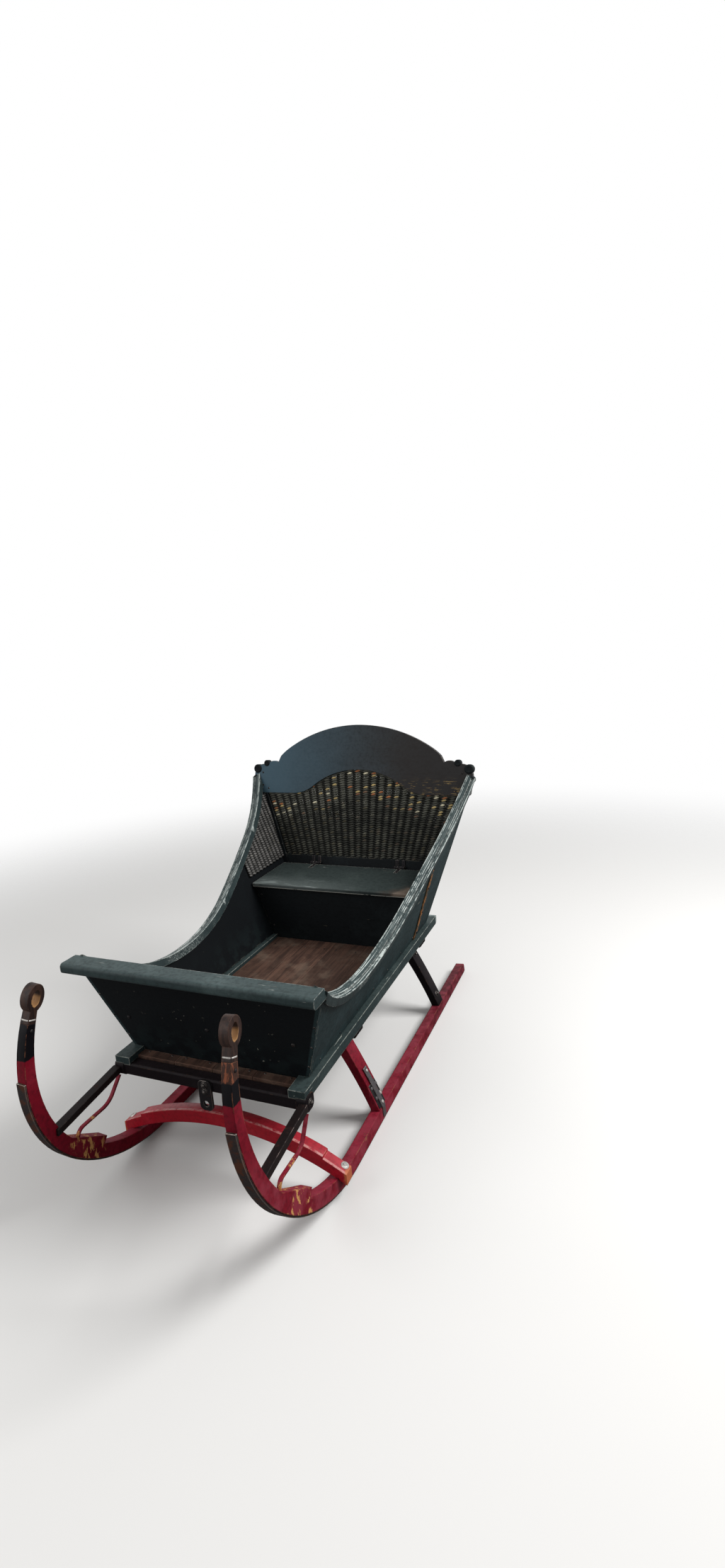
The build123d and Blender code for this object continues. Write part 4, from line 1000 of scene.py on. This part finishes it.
points, faces = [], []
for side, name in SIDES:
    foot, axis = horn_foot(side, name)
    side_way = Vector((math.cos(RUNNER_LEAN), 0, side * math.sin(RUNNER_LEAN)))
    ferrule(points, faces, foot + axis * FERRULE_RISE, axis, side_way)
piece("horn_ferrules", points, faces, bright_iron, "frame")

# Ear scrolls: small turned knobs of wood, black with age, pushed through the crest board's ears,
# which they finish on both faces.
CREST_THICK = 0.024
# Each knob's place across, its height and its size. The front profile is radius and rise.
KNOBS = ((0.524, 1.078, 0.021), (0.474, 1.104, 0.015), (0.534, 1.034, 0.015))
KNOB_FRONT = ((1, 0.05), (0.85, 0.22), (0.55, 0.26), (0.4, 0.12), (0, 0.3))
flat_spot, outward = hit("crest_board", (0, -0.2, 1.15), REARWARD)
points, faces = [], []
for side, _ in SIDES:
    for x, z, size in KNOBS:
        lean = outward.x * (side * x - flat_spot.x) + outward.z * (z - flat_spot.z)
        rear = -CREST_THICK / size
        knob = ((0.5, rear - 0.25), (0.85, rear - 0.2), (1, rear)) + KNOB_FRONT
        spot = Vector((side * x, flat_spot.y - lean / outward.y, z))
        turned(points, faces, spot, outward, size, knob, 20)
piece("ear_scrolls", points, faces, inner_black, "frame")

# Studio: a pale plain floor that fades into a white room, a high window light from the sleigh's
# left and a weaker one from ahead of its right.
FLOOR_REACH = 6
FLOOR_DROP = 0.0005
FADE_FROM, FADE_TO = 2.2, 5.5
# Each lamp's name, its place, its size in metres and its power in watts.
LAMPS = (("window_lamp", (3.2, 1.0, 3.6), 2.0, 190), ("fill_lamp", (-2.4, -3.2, 2.6), 2.8, 60))
LAMPS_AIM = Vector((0, 0, 0.5))
WHITE = (1, 1, 1, 1)
studio, coat, place, _, _ = new_coat("studio_floor")
seen = coat.node("LightPath", output="Is Camera Ray")
distance = coat.node("VectorMath", {"operation": "LENGTH"}, {0: place}, "Value")
coat.finish({
    "Base Color": seen.mix(dye(120, 118, 116), dye(232, 231, 229)),
    "Alpha": distance.step(FADE_TO, FADE_FROM),
    "Roughness": 0.9,
    "Specular IOR Level": 0.1,
})
floor_mesh = bpy.data.meshes.new("studio_floor")
corners = [
    (x * FLOOR_REACH, y * FLOOR_REACH, -FLOOR_DROP) for x, y in ((-1, -1), (1, -1), (1, 1), (-1, 1))
]
floor_mesh.from_pydata(corners, [], [(0, 1, 2, 3)])
floor_mesh.materials.append(studio)
studio_floor = bpy.data.objects.new("studio_floor", floor_mesh)
bpy.context.scene.collection.objects.link(studio_floor)
for name, spot, size, power in LAMPS:
    lamp = bpy.data.lights.new(name, "AREA")
    lamp.energy = power
    lamp.size = size
    holder = bpy.data.objects.new(name, lamp)
    holder.location = spot
    holder.rotation_euler = (LAMPS_AIM - Vector(spot)).to_track_quat("-Z", "Y").to_euler()
    bpy.context.scene.collection.objects.link(holder)
world = bpy.data.worlds.new("studio")
bpy.context.scene.world = world
world.use_nodes = True
room = Coat(world.node_tree)
seen = room.node("LightPath", output="Is Camera Ray")
seen = seen.either(room.node("LightPath", output="Is Glossy Ray"))
seen = seen.either(room.node("LightPath", output="Is Transmission Ray"))
soft = room.node("Background", (), {"Color": WHITE, "Strength": 0.45}, "Background")
bright = room.node("Background", (), {"Color": WHITE, "Strength": 1.0}, "Background")
walls = room.node("MixShader", (), {0: seen, 1: soft, 2: bright})
room.join(walls, world.node_tree.nodes["World Output"].inputs["Surface"])
bpy.context.scene.view_settings.view_transform = "Standard"
